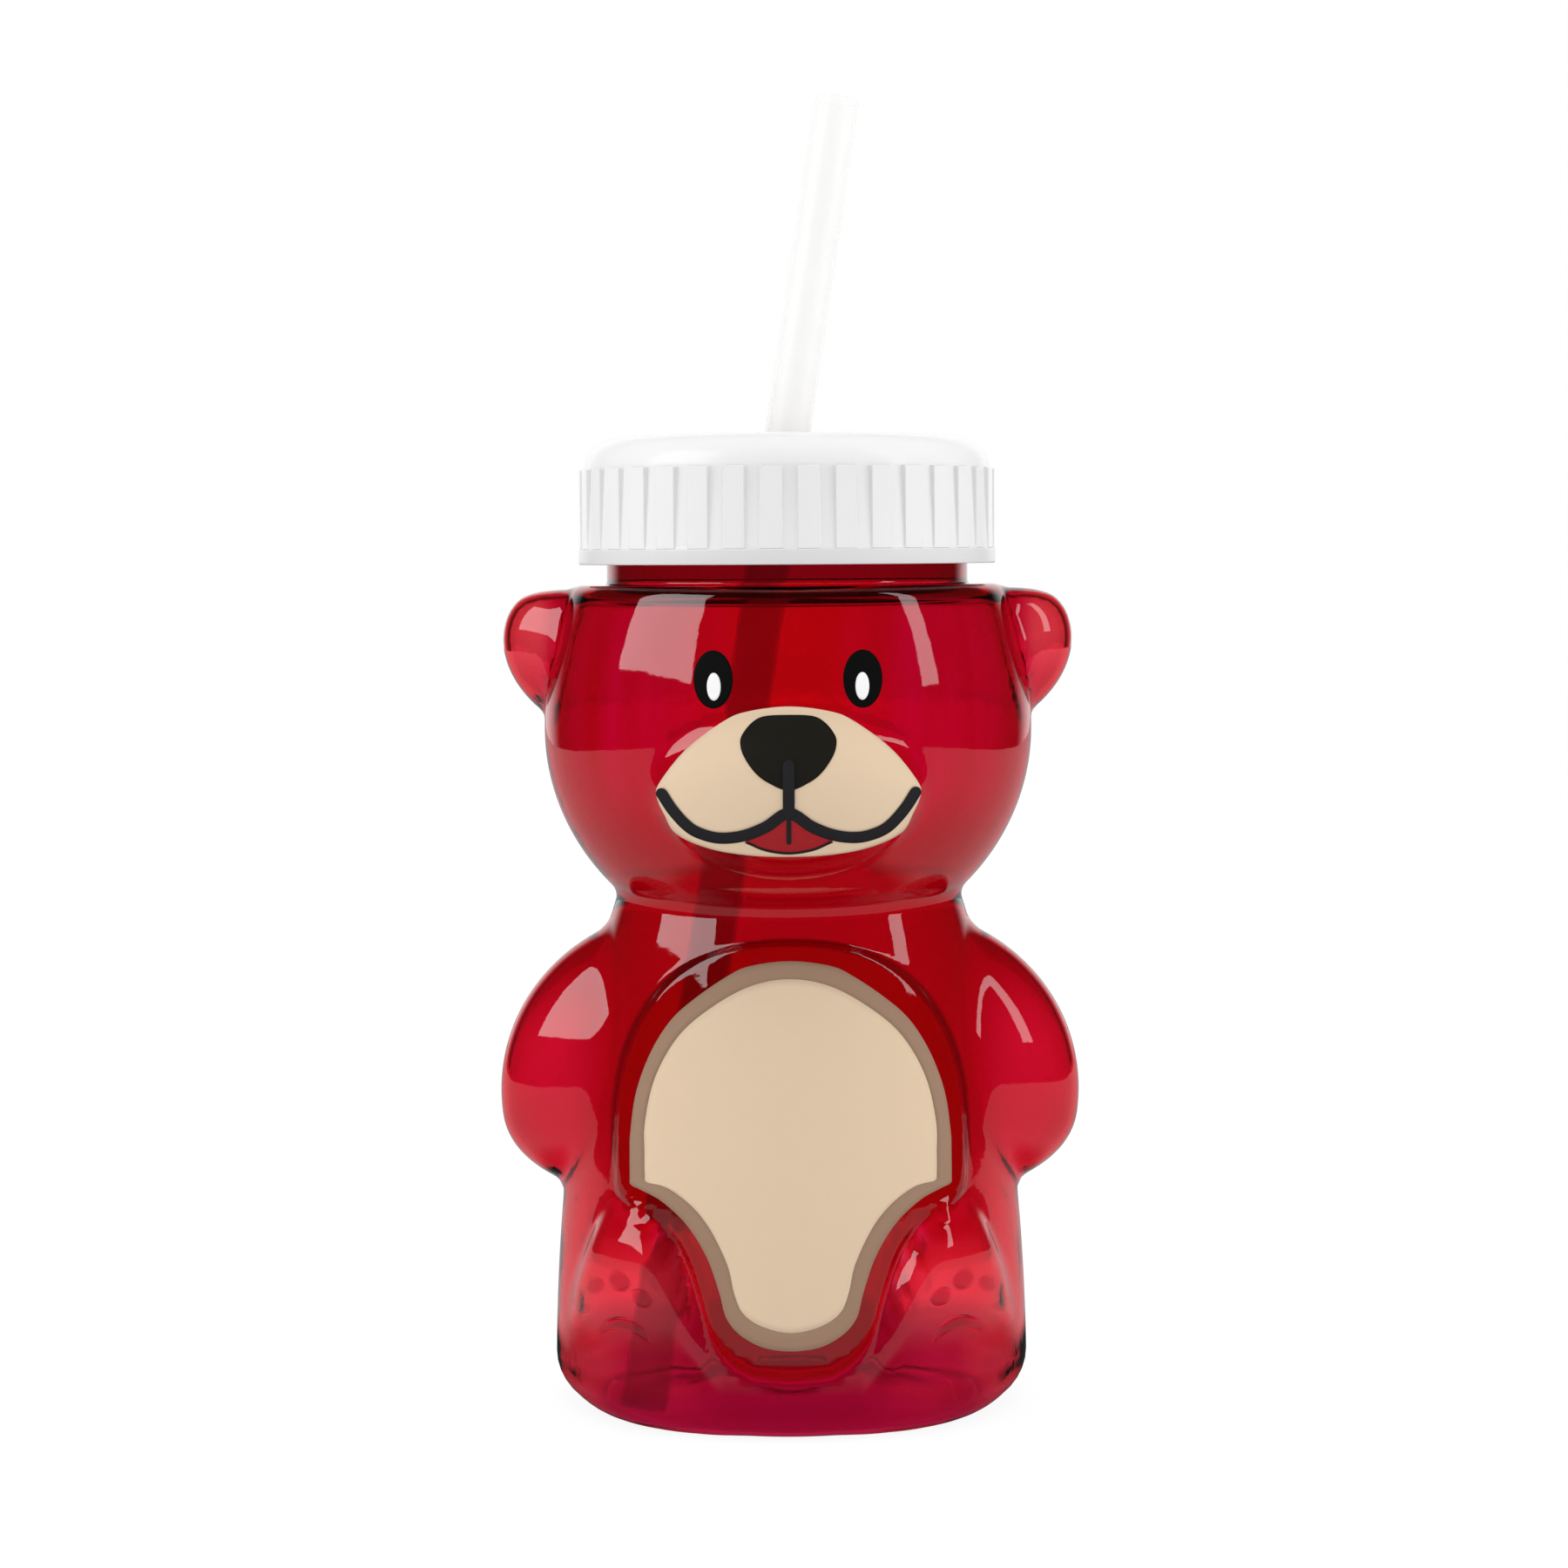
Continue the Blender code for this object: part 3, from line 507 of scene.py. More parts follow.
def belly_edge_shade(paint, aside, height):
    """Painted shade, 1 along the upper edge of the raised belly, where the steeply turning plastic
    looks dark.
    """
    up, wide, high, power = BELLY_ARCH
    across = paint.raised(aside * (1 / MM / wide), power)
    over = paint.raised(paint.larger(height * (1 / MM / high) - up / high, 0.0), power)
    away = paint.size_of(paint.raised(across + over, 1 / power) - 1)
    return (1 - away.ramp(*BELLY_EDGE_SHADE_LINE)) * height.past(*BELLY_ARCH_ABOVE)


def red_plastic():
    """Clear tinted plastic, with painted reflections on the ears and limbs and painted shade."""
    paint = Paint("red_clear_plastic")
    aside = paint.size_of(paint.axis("X"))
    height = paint.axis("Z")
    cloud = paint.noise(24, detail=2)
    waves = paint.noise(17, detail=1.5)
    ripples = paint.noise(5, detail=2)
    streaks = paint.noise(7, detail=2, stretch=(1, 1, 0.12))
    grain = paint.noise(0.5, detail=2)
    front = 1 - paint.axis("Y").past(*FRONT_UP_TO)
    marks, tips = soles(paint, aside, height)
    # The ears' pale tint is a painted reflection of the white sweep.
    ear_reflection = aside.past(*EAR_FROM) * height.past(*EAR_ABOVE)
    # The pale arms, feet and legs' sides are painted reflections of the table.
    arm_reflection = aside.past(*ARM_FROM) * (1 - height.past(*ARM_UP_TO)) * height.past(*ARM_ABOVE)
    foot_reflection = aside.past(*FOOT_FROM) * (1 - height.past(*FOOT_UP_TO)) * height.past(*FOOT_ABOVE)
    side = aside.past(*LEG_SIDE_FROM) * (1 - height.past(*LEG_SIDE_UP_TO)) * LEG_SIDE_REFLECTION_SHARE
    # Painted shade along the belly's upper edge, where the steep plastic looks dark.
    belly = belly_edge_shade(paint, aside, height) * front * BELLY_EDGE_SHADE_SHARE
    middle = paint.blend(cloud, *HEAD_MIDDLE_TINTS)
    flank = paint.blend(streaks.ramp(0.3, 0.7), *HEAD_FLANK_TINTS)
    colour = paint.blend(aside.past(*FLANK_FROM), middle, flank)
    # Painted shade: darker towards the bottom.
    colour = paint.blend(height.past(*HEAD_ABOVE), TORSO_SHADED_TINT, colour)
    colour = paint.blend(height.past(*TORSO_ABOVE), BASE_SHADED_TINT, colour)
    colour = paint.blend(arm_reflection, colour, ARM_TABLE_REFLECTION_TINT)
    colour = paint.blend(paint.larger(foot_reflection, side), colour, FOOT_TABLE_REFLECTION_TINT)
    # Painted shade on the toe and pad marks.
    colour = paint.blend(marks * front, colour, MARK_SHADE_TINT)
    colour = paint.blend(ear_reflection, colour, EAR_SWEEP_REFLECTION_TINT)
    # Painted shade of the lid on the neck.
    colour = paint.blend(height.past(*NECK_ABOVE), colour, NECK_SHADE_TINT)
    colour = paint.blend(belly, colour, BELLY_EDGE_SHADE_TINT)
    normal = paint.bump(tips * front, 1.0, paint.bump(ripples, 0.022, paint.bump(waves, 0.12)))
    surface = paint.shade(
        {
            "Base Color": colour,
            "Roughness": cloud * 0.02 + 0.01,
            "IOR": 1.54,
            "Transmission Weight": 1.0,
            "Normal": paint.bump(grain, 0.002, normal),
        }
    )
    tinted = {"Color": rgb(*ABSORPTION_TINT), "Density": ABSORPTION}
    return paint.finish(surface, paint.add("ShaderNodeVolumeAbsorption", None, tinted))


def rib_flank_shade(paint, height):
    """Painted shade in lines along the two flanks of each rib: a value of 1 on them, and their tint.
    """
    turn = paint.calculate("ARCTAN2", paint.axis("X"), paint.axis("Y") * -1.0)
    laps = turn * (RIB_COUNT / (2 * math.pi)) + (RIB_COUNT + 0.5 - RIB_FIRST * RIB_COUNT / 360)
    across = paint.calculate("FRACT", laps) - 0.5
    flank = RIB_HALF_WIDTH / (2 * math.pi * LID_SKIRT / RIB_COUNT)
    low, high = LID_RIM + LID_BAND_HEIGHT, LID_EDGE - LID_CORNER
    above_band = height.past(*(low + edge for edge in RIB_SHADE_START))
    ribbed = above_band * (1 - height.past(*(high + edge for edge in RIB_SHADE_END)))
    for side, tint in RIB_FLANK_SHADE_TINTS:
        away = paint.size_of(across - side * flank)
        yield (1 - away.ramp(*RIB_FLANK_SHADE_LINE)) * ribbed, tint


def white_plastic():
    """Satin white, with painted shade: greyer on the band and darker in the corners beside the ribs.
    """
    paint = Paint("white_plastic")
    cloud = paint.noise(18, detail=3)
    grain = paint.noise(0.35, detail=2)
    swirl = paint.noise(9, detail=2, stretch=(1, 1, 0.3))
    height = paint.axis("Z")
    # Painted shade: the band greyer.
    band = 1 - height.past(*(LID_RIM + LID_BAND_HEIGHT + edge for edge in BAND_SHADE_END))
    colour = paint.blend(cloud, *LID_TINTS)
    colour = paint.blend(band, colour, LID_BAND_SHADE_TINT)
    # Painted shade along each rib's flanks, one flank darker than the other.
    for line, tint in rib_flank_shade(paint, height):
        colour = paint.blend(line, colour, tint)
    return paint.finish(
        paint.shade(
            {
                "Base Color": colour,
                "Roughness": cloud * 0.05 + 0.15,
                "IOR": 1.49,
                "Specular IOR Level": 0.2,
                "Normal": paint.bump(grain, 0.006, paint.bump(swirl, 0.03)),
            }
        )
    )


def silicone():
    """Dull, slightly cloudy white rubber."""
    paint = Paint("clear_silicone")
    cloud = paint.noise(4, detail=3)
    colour = paint.blend(cloud, *SEAL_TINTS)
    normal = paint.bump(paint.noise(0.4, detail=2), 0.01)
    rough = cloud * 0.1 + 0.42
    return paint.finish(paint.shade({"Base Color": colour, "Roughness": rough, "Normal": normal}))


def milky_plastic():
    """Thin translucent plastic, drawn into faint streaks along its length."""
    paint = Paint("milky_plastic")
    streaks = paint.noise(3, detail=2, stretch=(1, 1, 0.06))
    grain = paint.noise(0.4, detail=2)
    colour = paint.blend(streaks, *STRAW_TINTS)
    normal = paint.bump(grain, 0.004, paint.bump(streaks, 0.02))
    return paint.finish(
        paint.shade(
            {
                "Base Color": colour,
                "Roughness": streaks * 0.08 + 0.34,
                "Alpha": STRAW_ALPHA,
                "Normal": normal,
            }
        )
    )


def ink(name, dark, light):
    """Screen-printed ink: nearly flat, with a faint mottle and a trace of the mesh it went through."""
    paint = Paint(name)
    mottle = paint.noise(3.5, detail=4, roughness=0.6)
    film = paint.noise(0.3, detail=1)
    colour = paint.blend(mottle, dark, light)
    return paint.finish(
        paint.shade(
            {
                "Base Color": colour,
                "Roughness": mottle * 0.1 + INK_ROUGHNESS,
                "Specular IOR Level": 0.04,
                "Normal": paint.bump(film, 0.004),
            }
        )
    )


# The bear's form is a signed distance in millimetres, below zero inside.
def swell(points, shape):
    """An ellipsoid on either side, with one height above its centre and another below."""
    centre, (wide, deep), rise, drop, tilt = shape
    angle = math.radians(tilt)
    across = np.abs(points[:, 0]) - centre[0]
    above = points[:, 2] - centre[2]
    height = across * math.sin(angle) + above * math.cos(angle)
    tall = np.where(height > 0, rise, drop)
    x = (across * math.cos(angle) - above * math.sin(angle)) / wide
    y = (points[:, 1] - centre[1]) / deep
    z = height / tall
    length = np.sqrt(x * x + y * y + z * z)
    slope = np.sqrt((x / wide) ** 2 + (y / deep) ** 2 + (z / tall) ** 2)
    return length * (length - 1) / np.maximum(slope, TINY)


def join(first, second, fillet):
    """Both forms as one, with a round fillet in the corner between them."""
    near = np.maximum(fillet - first, 0)
    other = np.maximum(fillet - second, 0)
    return np.maximum(fillet, np.minimum(first, second)) - np.sqrt(near**2 + other**2)


def trim(first, second, fillet):
    """What lies in both forms, with its edge rounded."""
    return -join(-first, -second, fillet)


def curve(before, knots, after, beyond, steps):
    """Catmull-Rom points from each knot towards the next, given the knots on either side."""
    rows = []
    for t in np.linspace(0, 1, steps, endpoint=False):
        rows.append(
            (2 * t**3 - 3 * t**2 + 1) * knots
            + (t**3 - 2 * t**2 + t) * (after - before) / 2
            + (3 * t**2 - 2 * t**3) * after
            + (t**3 - t**2) * (beyond - knots) / 2
        )
    return np.stack(rows, axis=1).reshape(-1, 2)


def smooth_outline(half, steps=6):
    """Closed (x, z) points through half an outline and its mirror image."""
    mirror = [(-x, z) for x, z in reversed(half) if x > 0]
    knots = np.array([*half, *mirror], float)
    before, after, beyond = (np.roll(knots, shift, axis=0) for shift in (1, -1, -2))
    return curve(before, knots, after, beyond, steps)


def inside_depth(points, outline):
    """How far each (x, z) lies inside the outline, below zero outside it."""
    nearest = np.full(len(points), np.inf)
    odd = np.zeros(len(points), bool)
    for start, end in zip(outline, np.roll(outline, -1, axis=0)):
        edge = end - start
        away = points - start
        along = np.clip(away @ edge / (edge @ edge), 0, 1)
        nearest = np.minimum(nearest, np.linalg.norm(away - along[:, None] * edge, axis=1))
        spans = (start[1] > points[:, 1]) != (end[1] > points[:, 1])
        rise = edge[1] or TINY
        odd ^= spans & (away[:, 0] < edge[0] * away[:, 1] / rise)
    return np.where(odd, nearest, -nearest)


def ease(share):
    """From 0 to 1 with soft shoulders."""
    share = np.clip(share, 0, 1)
    return share * share * (3 - 2 * share)


def relief_map():
    """How far one half of the front stands out for the belly, on an even grid."""
    side = np.arange(0, RELIEF_REACH, RELIEF_STEP)
    level = np.arange(0, RELIEF_TOP, RELIEF_STEP)
    x, z = np.meshgrid(side, level, indexing="ij")
    spots = np.stack([x.ravel(), z.ravel()], -1)
    depth = inside_depth(spots, smooth_outline(BELLY_LINE)).reshape(x.shape)
    return BELLY_RAISE * ease(depth / BELLY_EDGE + 0.5)


RELIEF = relief_map()


def relief(points):
    """How far the belly stands out at each point, read from the grid."""
    columns, rows = (count - 1 - RELIEF_MARGIN for count in RELIEF.shape)
    x = np.clip(np.abs(points[:, 0]) / RELIEF_STEP, 0, columns)
    z = np.clip(points[:, 2] / RELIEF_STEP, 0, rows)
    i, k = x.astype(int), z.astype(int)
    u, w = x - i, z - k
    low = RELIEF[i, k] * (1 - u) + RELIEF[i + 1, k] * u
    high = RELIEF[i, k + 1] * (1 - u) + RELIEF[i + 1, k + 1] * u
    return np.where(points[:, 1] < 0, low * (1 - w) + high * w, 0)


def push_up(points):
    """How far the underside is hollowed, so that the bottle stands on a ring."""
    out = np.hypot(points[:, 0], points[:, 1]) / PUSH_UP_RADIUS
    return PUSH_UP * ease(1 - out**2)


def foot(points):
    """A leg's swell cut back to the two slanting lines."""
    shape = swell(points, LEG)
    aside = np.abs(points[:, 0])
    for across, up, reach, fillet in FOOT_LINES:
        shape = trim(shape, aside * across + points[:, 2] * up - reach, fillet)
    return shape


def form(points, plain=False):
    """The bear. The plain one is what its inner skin follows: no relief and a rounder shoulder."""
    head = join(swell(points, HEAD), swell(points, MUZZLE), MUZZLE_FILLET)
    shoulder = SHOULDER_FILLET + (WALL if plain else 0)
    head = trim(head, points[:, 2] - SHOULDER, shoulder)
    ears = trim(swell(points, EAR), points[:, 2] - EAR_TOP, EAR_TOP_FILLET)
    head = join(head, ears, EAR_FILLET)
    torso = join(swell(points, TORSO), swell(points, ARM), ARM_FILLET)
    torso = join(torso, foot(points), LEG_FILLET)
    if not plain:
        torso = torso - relief(points)
    front, side = BASE_FILLET
    fillet = front + (side - front) * ease(np.abs(points[:, 0]) / TORSO[1][0])
    torso = trim(torso, push_up(points) - points[:, 2], fillet)
    return join(head, torso, WAIST_FILLET)


def outward(points):
    """Unit normals of the plain bear."""
    slopes = []
    for axis in range(3):
        step = np.zeros(3)
        step[axis] = NORMAL_STEP
        slopes.append(form(points + step, True) - form(points - step, True))
    slopes = np.stack(slopes, -1)
    return slopes / np.linalg.norm(slopes, axis=1)[:, None]


def reaches(starts, ways, offset, plain=False):
    """How far each ray goes before it last leaves the form grown by the offset."""
    inner = np.zeros(len(ways))
    outer = np.full(len(ways), FARTHEST)
    found = np.zeros(len(ways), bool)
    for reach in np.linspace(FARTHEST, 0, MARCH_STEPS):
        left = np.flatnonzero(~found)
        within = form(starts[left] + ways[left] * reach, plain) < offset
        inner[left[within]] = reach
        found[left[within]] = True
        outer[left[~within]] = reach
    for _ in range(HALVING_STEPS):
        middle = (inner + outer) / 2
        within = form(starts + ways * middle[:, None], plain) < offset
        inner = np.where(within, middle, inner)
        outer = np.where(within, outer, middle)
    return inner


def azimuths():
    """Directions round the axis from the front, closer together there."""
    turn = np.linspace(0, 2 * math.pi, COLUMNS + 1)
    return turn - FRONT_CROWDING * np.sin(turn)


def stations(inside):
    """Origin height and elevation of each row of rays, from the base's middle to the neck."""
    height, elevation = SKIN_START
    rows = [(height, elevation)]
    last = SKIN_STRETCHES[-1][0]
    neck = NECK_RADIUS - (NECK_WALL if inside else 0) + NECK_FILLET
    crown = math.degrees(math.atan2(SHOULDER - last, neck))
    for end, final, count in (*SKIN_STRETCHES, (last, crown, CROWN_ROWS)):
        for step in range(1, count + 1):
            share = step / count
            origin = height + (end - height) * share
            rows.append((origin, elevation + (final - elevation) * share))
        height, elevation = end, final
    return rows[::INNER_ROW_STEP] if inside else rows


def skin(inside):
    """Rows of points where rays from the axis leave the bear, or where they leave its inner skin."""
    rows = stations(inside)
    turn = azimuths()
    heights = np.repeat([height for height, _ in rows], len(turn))
    angles = np.radians([elevation for _, elevation in rows])[:, None]
    x, y = np.cos(angles) * np.sin(turn), -np.cos(angles) * np.cos(turn)
    ways = np.stack([x, y, np.sin(angles) + 0 * turn], -1).reshape(-1, 3)
    starts = np.zeros_like(ways)
    starts[:, 2] = heights
    points = starts + ways * reaches(starts, ways, 0.0, inside)[:, None]
    if inside:
        full = ease(points[:, 2] / BASE_WALL_RISE)
        thick = WALL * (BASE_WALL_SHARE + (1 - BASE_WALL_SHARE) * full)
        points -= thick[:, None] * outward(points)
    return points.reshape(len(rows), len(turn), 3)


def ring(radius, height):
    """Points round the axis, with one radius or one for each azimuth."""
    turn = azimuths()
    around = [radius * np.sin(turn), -radius * np.cos(turn), np.full(len(turn), height)]
    return np.stack(around, -1)


def arc(radius, height, size, start, end, steps):
    """(radius, height) points along an arc, angles in degrees."""
    angles = [math.radians(start + (end - start) * i / steps) for i in range(steps + 1)]
    return [(radius + size * math.cos(a), height + size * math.sin(a)) for a in angles]


def quarter(radius, height, size, start, end, steps):
    """Rings along an arc round (radius, height), angles in degrees."""
    return [ring(*place) for place in arc(radius, height, size, start, end, steps)]


def thread_start():
    """Height at which the neck's thread begins."""
    return LIP - THREAD_BELOW_LIP - THREAD_TURNS * THREAD_PITCH


def thread_rise(height, first, turn):
    """How far a helical ridge stands proud of a wall at this height, for each azimuth."""
    stand = np.zeros(len(turn))
    for lap in (0, 1):
        done = turn / (2 * math.pi) + lap
        level = first + THREAD_PITCH * done
        ends = ease(done / THREAD_TAPER) * ease((THREAD_TURNS - done) / THREAD_TAPER)
        size = THREAD_ROUND * np.sqrt(ends)
        stand = np.maximum(stand, np.sqrt(np.maximum(size**2 - (height - level) ** 2, 0)))
    return np.where(stand > 0, np.maximum(stand + THREAD_STAND - THREAD_SUNK, 0), 0)


def threaded_neck():
    """Rings up the outside of the neck, from above its fillet to below its lip."""
    turn = azimuths()
    rings = []
    for height in np.linspace(SHOULDER + NECK_FILLET, LIP - LIP_ROUND, NECK_ROWS):
        rings.append(ring(NECK_RADIUS + thread_rise(height, thread_start(), turn), height))
    return rings


def sheet(name, points):
    """A grid whose points are moved to their places, with coinciding ones made one."""
    rows, columns = points.shape[:2]
    work = bmesh.new()
    bmesh.ops.create_grid(work, x_segments=columns - 1, y_segments=rows - 1, size=1)
    for vert in work.verts:
        row = round((vert.co.y + 1) / 2 * (rows - 1))
        column = round((vert.co.x + 1) / 2 * (columns - 1))
        vert.co = points[row, column] * MM
    bmesh.ops.remove_doubles(work, verts=work.verts, dist=MERGE * MM)
    bmesh.ops.recalc_face_normals(work, faces=work.faces)
    return mesh_from(name, work)


def mesh_from(name, work):
    """A smooth-shaded mesh of the bmesh, which is freed."""
    mesh = bpy.data.meshes.new(name)
    work.to_mesh(mesh)
    work.free()
    mesh.shade_smooth()
    return mesh


def piece(name, mesh, body, finish, stands_for):
    """An object with its finish, the body that it rides on and the CAD piece that it replaces."""
    thing = bpy.data.objects.new(name, mesh)
    scene.collection.objects.link(thing)
    mesh.materials.append(finish)
    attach(thing, body)
    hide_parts(stands_for)
    return thing


def make_bear(finish):
    """The hollow body: outer skin, threaded neck, lip and inner skin as one closed sheet."""
    bore = NECK_RADIUS - NECK_WALL
    ceiling = SHOULDER - WALL
    lip = LIP - LIP_ROUND
    root = quarter(NECK_RADIUS + NECK_FILLET, SHOULDER + NECK_FILLET, NECK_FILLET, 270, 180, steps=4)
    lip_outer = quarter(NECK_RADIUS - LIP_ROUND, lip, LIP_ROUND, 0, 90, steps=4)
    lip_inner = quarter(bore + LIP_ROUND, lip, LIP_ROUND, 90, 180, steps=4)
    top, bottom = LIP - NECK_INNER_MARGIN, ceiling + NECK_INNER_MARGIN
    inner_wall = [ring(bore, height) for height in np.linspace(top, bottom, NECK_INNER_ROWS)]
    inner_root = quarter(bore + NECK_FILLET, ceiling + NECK_FILLET, NECK_FILLET, 180, 270, steps=3)
    neck = root[1:-1] + threaded_neck() + lip_outer[1:] + lip_inner + inner_wall + inner_root[:-1]
    mesh = sheet("bear_shell", np.concatenate([skin(False), np.array(neck), skin(True)[::-1]]))
    return piece("bear_shell", mesh, "bottle", finish, "bear_body")


def turned(name, profile, steps):
    """A closed outline of (radius, height) points spun about Z."""
    work = bmesh.new()
    verts = [work.verts.new((radius * MM, 0, height * MM)) for radius, height in profile]
    edges = [work.edges.new(pair) for pair in zip(verts, verts[1:] + verts[:1])]
    bmesh.ops.spin(
        work, geom=verts + edges, axis=(0, 0, 1), cent=(0, 0, 0), angle=2 * math.pi,
        steps=steps, use_merge=True,
    )
    bmesh.ops.remove_doubles(work, verts=work.verts, dist=MERGE * MM)
    bmesh.ops.recalc_face_normals(work, faces=work.faces)
    return mesh_from(name, work)


def make_seal(finish):
    """A flat ring with round corners."""
    outer, inner, size = SEAL_OUTER - SEAL_ROUND, SEAL_INNER + SEAL_ROUND, SEAL_ROUND
    top, bottom = SEAL_TOP - SEAL_ROUND, SEAL_BOTTOM + SEAL_ROUND
    corners = ((outer, top, 0), (inner, top, 90), (inner, bottom, 180), (outer, bottom, 270))
    profile = []
    for radius, height, start in corners:
        profile += arc(radius, height, size, start, start + 90, steps=4)
    mesh = turned("seal_ring", profile, SEAL_TURN_STEPS)
    return piece("seal_ring", mesh, "seal", finish, "lid_seal")


def make_straw(finish):
    """A tube with round ends, turned upright and then leaned."""
    wall = STRAW_WALL / 2
    middle = STRAW_RADIUS - wall
    levels = np.linspace(wall, STRAW_LENGTH - wall, STRAW_STEPS + 1)
    profile = [(STRAW_RADIUS, level) for level in levels]
    profile += arc(middle, STRAW_LENGTH - wall, wall, 0, 180, steps=6)[1:-1]
    profile += [(STRAW_RADIUS - STRAW_WALL, level) for level in reversed(levels)]
    profile += arc(middle, wall, wall, 180, 360, steps=6)[1:-1]
    mesh = turned("straw_tube", profile, STRAW_TURN_STEPS)
    lean = Vector(STRAW_WAY).to_track_quat("Z", "Y").to_matrix().to_4x4()
    mesh.transform(Matrix.Translation(Vector(STRAW_FOOT) * MM) @ lean)
    return piece("straw_tube", mesh, "straw", finish, "straw")


def lid_rows():
    """(radius, height, surface) from the hole over the top, down the skirt and back up inside."""
    corner_top, corner_side = LID_SKIRT - LID_CORNER, LID_EDGE - LID_CORNER
    hole, rim = LID_HOLE + LID_HOLE_ROUND, LID_RIM_ROUND
    band, bottom = LID_RIM + LID_BAND_HEIGHT, LID_RIM + rim
    start, end = LID_CORNER_ENDS
    inner, below = LID_BORE - LID_INNER_CORNER, LID_UNDERSIDE - LID_INNER_CORNER
    rows = even(arc(hole, LID_CROWN - LID_HOLE_ROUND, LID_HOLE_ROUND, 180, 90, steps=5))
    for share in np.linspace(0, 1, LID_CROWN_STEPS + 1)[1:]:
        radius = hole + (corner_top - hole) * share
        rows += even([(radius, LID_CROWN - (LID_CROWN - LID_EDGE) * share**2)])
    rows += even(arc(corner_top, corner_side, LID_CORNER, start, end, steps=16))
    rows += even([(LID_SKIRT, corner_side + above) for above in RIB_TOP_ROWS])
    rows.append((LID_SKIRT, corner_side, RIBBED))
    above, below_top = RIB_MARGINS
    for height in np.linspace(corner_side - below_top, band + above, RIB_STEPS):
        draft = LID_DRAFT * (corner_side - height) / (corner_side - band)
        rows.append((LID_SKIRT + draft, height, RIBBED))
    rows += [(LID_SKIRT + LID_DRAFT + out, band + up, RIBBED) for out, up in RIB_FOOT_ROWS]
    rows += even(arc(LID_BAND - rim, band - rim, rim, 90, 0, steps=4))
    rows += even(arc(LID_BAND - rim, bottom, rim, 0, -90, steps=4))
    rows += even(arc(LID_BORE + rim, bottom, rim, 270, 180, steps=4))
    for height in np.linspace(bottom + rim, LID_UNDERSIDE - LID_BORE_MARGIN, LID_BORE_STEPS):
        rows.append((LID_BORE, height, THREADED))
    rows += even(arc(inner, below, LID_INNER_CORNER, 0, 90, steps=6))
    rows += even(arc(hole, LID_UNDERSIDE + LID_HOLE_ROUND, LID_HOLE_ROUND, 270, 180, steps=4))
    return rows


def even(places):
    """Rows of the lid with neither ribs nor thread."""
    return [(radius, height, EVEN) for radius, height in places]


def rib_marks():
    """Azimuths round the lid, each rib's edges among them, and how far each lies on a rib."""
    pitch = 2 * math.pi / RIB_COUNT
    edges = [RIB_HALF_WIDTH + RIB_SIDE * share for share in (-1.0, -0.5, 0.5, 1.0)]
    marks = np.array([-edge for edge in reversed(edges)] + [0.0] + edges) / LID_SKIRT
    marks = np.append(marks, pitch / 2)
    turn = (marks + pitch * np.arange(RIB_COUNT)[:, None]).ravel()
    away = np.abs((turn + pitch / 2) % pitch - pitch / 2) * LID_SKIRT
    rib = ease((RIB_HALF_WIDTH + RIB_SIDE / 2 - away) / RIB_SIDE)
    turn = np.append(turn, turn[0] + 2 * math.pi) + math.radians(RIB_FIRST)
    return turn, np.append(rib, rib[0])


def make_lid(finish):
    """The lid as one closed sheet, ribbed outside and threaded inside."""
    turn, rib = rib_marks()
    lap = (turn - turn[0]) % (2 * math.pi)
    first = thread_start() - LID_THREAD_BELOW_NECK
    rows = []
    for radius, height, surface in lid_rows():
        around = np.full(len(turn), float(radius))
        if surface == RIBBED:
            around += rib * max(RIB_RADIUS - radius, 0)
        elif surface == THREADED:
            around -= thread_rise(height, first, lap)
        level = np.full(len(turn), height)
        rows.append(np.stack([around * np.sin(turn), -around * np.cos(turn), level], -1))
    rows.append(rows[0])
    mesh = sheet("lid_shell", np.array(rows))
    mesh.set_sharp_from_angle(angle=math.radians(LID_SHARP))
    return piece("lid_shell", mesh, "lid", finish, "lid")


def laid(flat, lift):
    """(x, z) places put on the front of the skin, lifted off it."""
    spots = flat.reshape(-1, 2)
    starts = np.stack([spots[:, 0], np.zeros(len(spots)), spots[:, 1]], -1)
    ways = np.tile((0.0, -1.0, 0.0), (len(spots), 1))
    points = starts + ways * reaches(starts, ways, lift)[:, None]
    return points.reshape(*flat.shape[:-1], 3)


def polar(outline, centre, turn):
    """Distance from the centre to the outline in each direction."""
    out = outline - np.array(centre)
    angle = np.arctan2(out[:, 0], out[:, 1])
    order = np.argsort(angle)
    return np.interp(turn, angle[order], np.hypot(*out.T)[order], period=2 * math.pi)


def patch(centre, near, far, rings):
    """Flat places in rings between two sets of distances from a centre, closed round it."""
    turn = np.linspace(-math.pi, math.pi, PATCH_COLUMNS)
    inner, outer = near(turn), far(turn)
    rows = []
    for share in np.linspace(0, 1, rings + 1):
        reach = inner + (outer - inner) * share
        rows.append(np.array(centre) + np.stack([reach * np.sin(turn), reach * np.cos(turn)], -1))
    return np.array(rows)


def filled(half, centre, rings):
    """Flat places that fill an outline."""
    outline = smooth_outline(half)
    return patch(centre, np.zeros_like, lambda turn: polar(outline, centre, turn), rings)


def oval(side, shape, rings):
    """Flat places that fill an oval on one side of the face."""
    across, up, wide, high = shape

    def reach(turn):
        return 1 / np.hypot(np.sin(turn) / wide, np.cos(turn) / high)

    return patch((side * across, up), np.zeros_like, reach, rings)


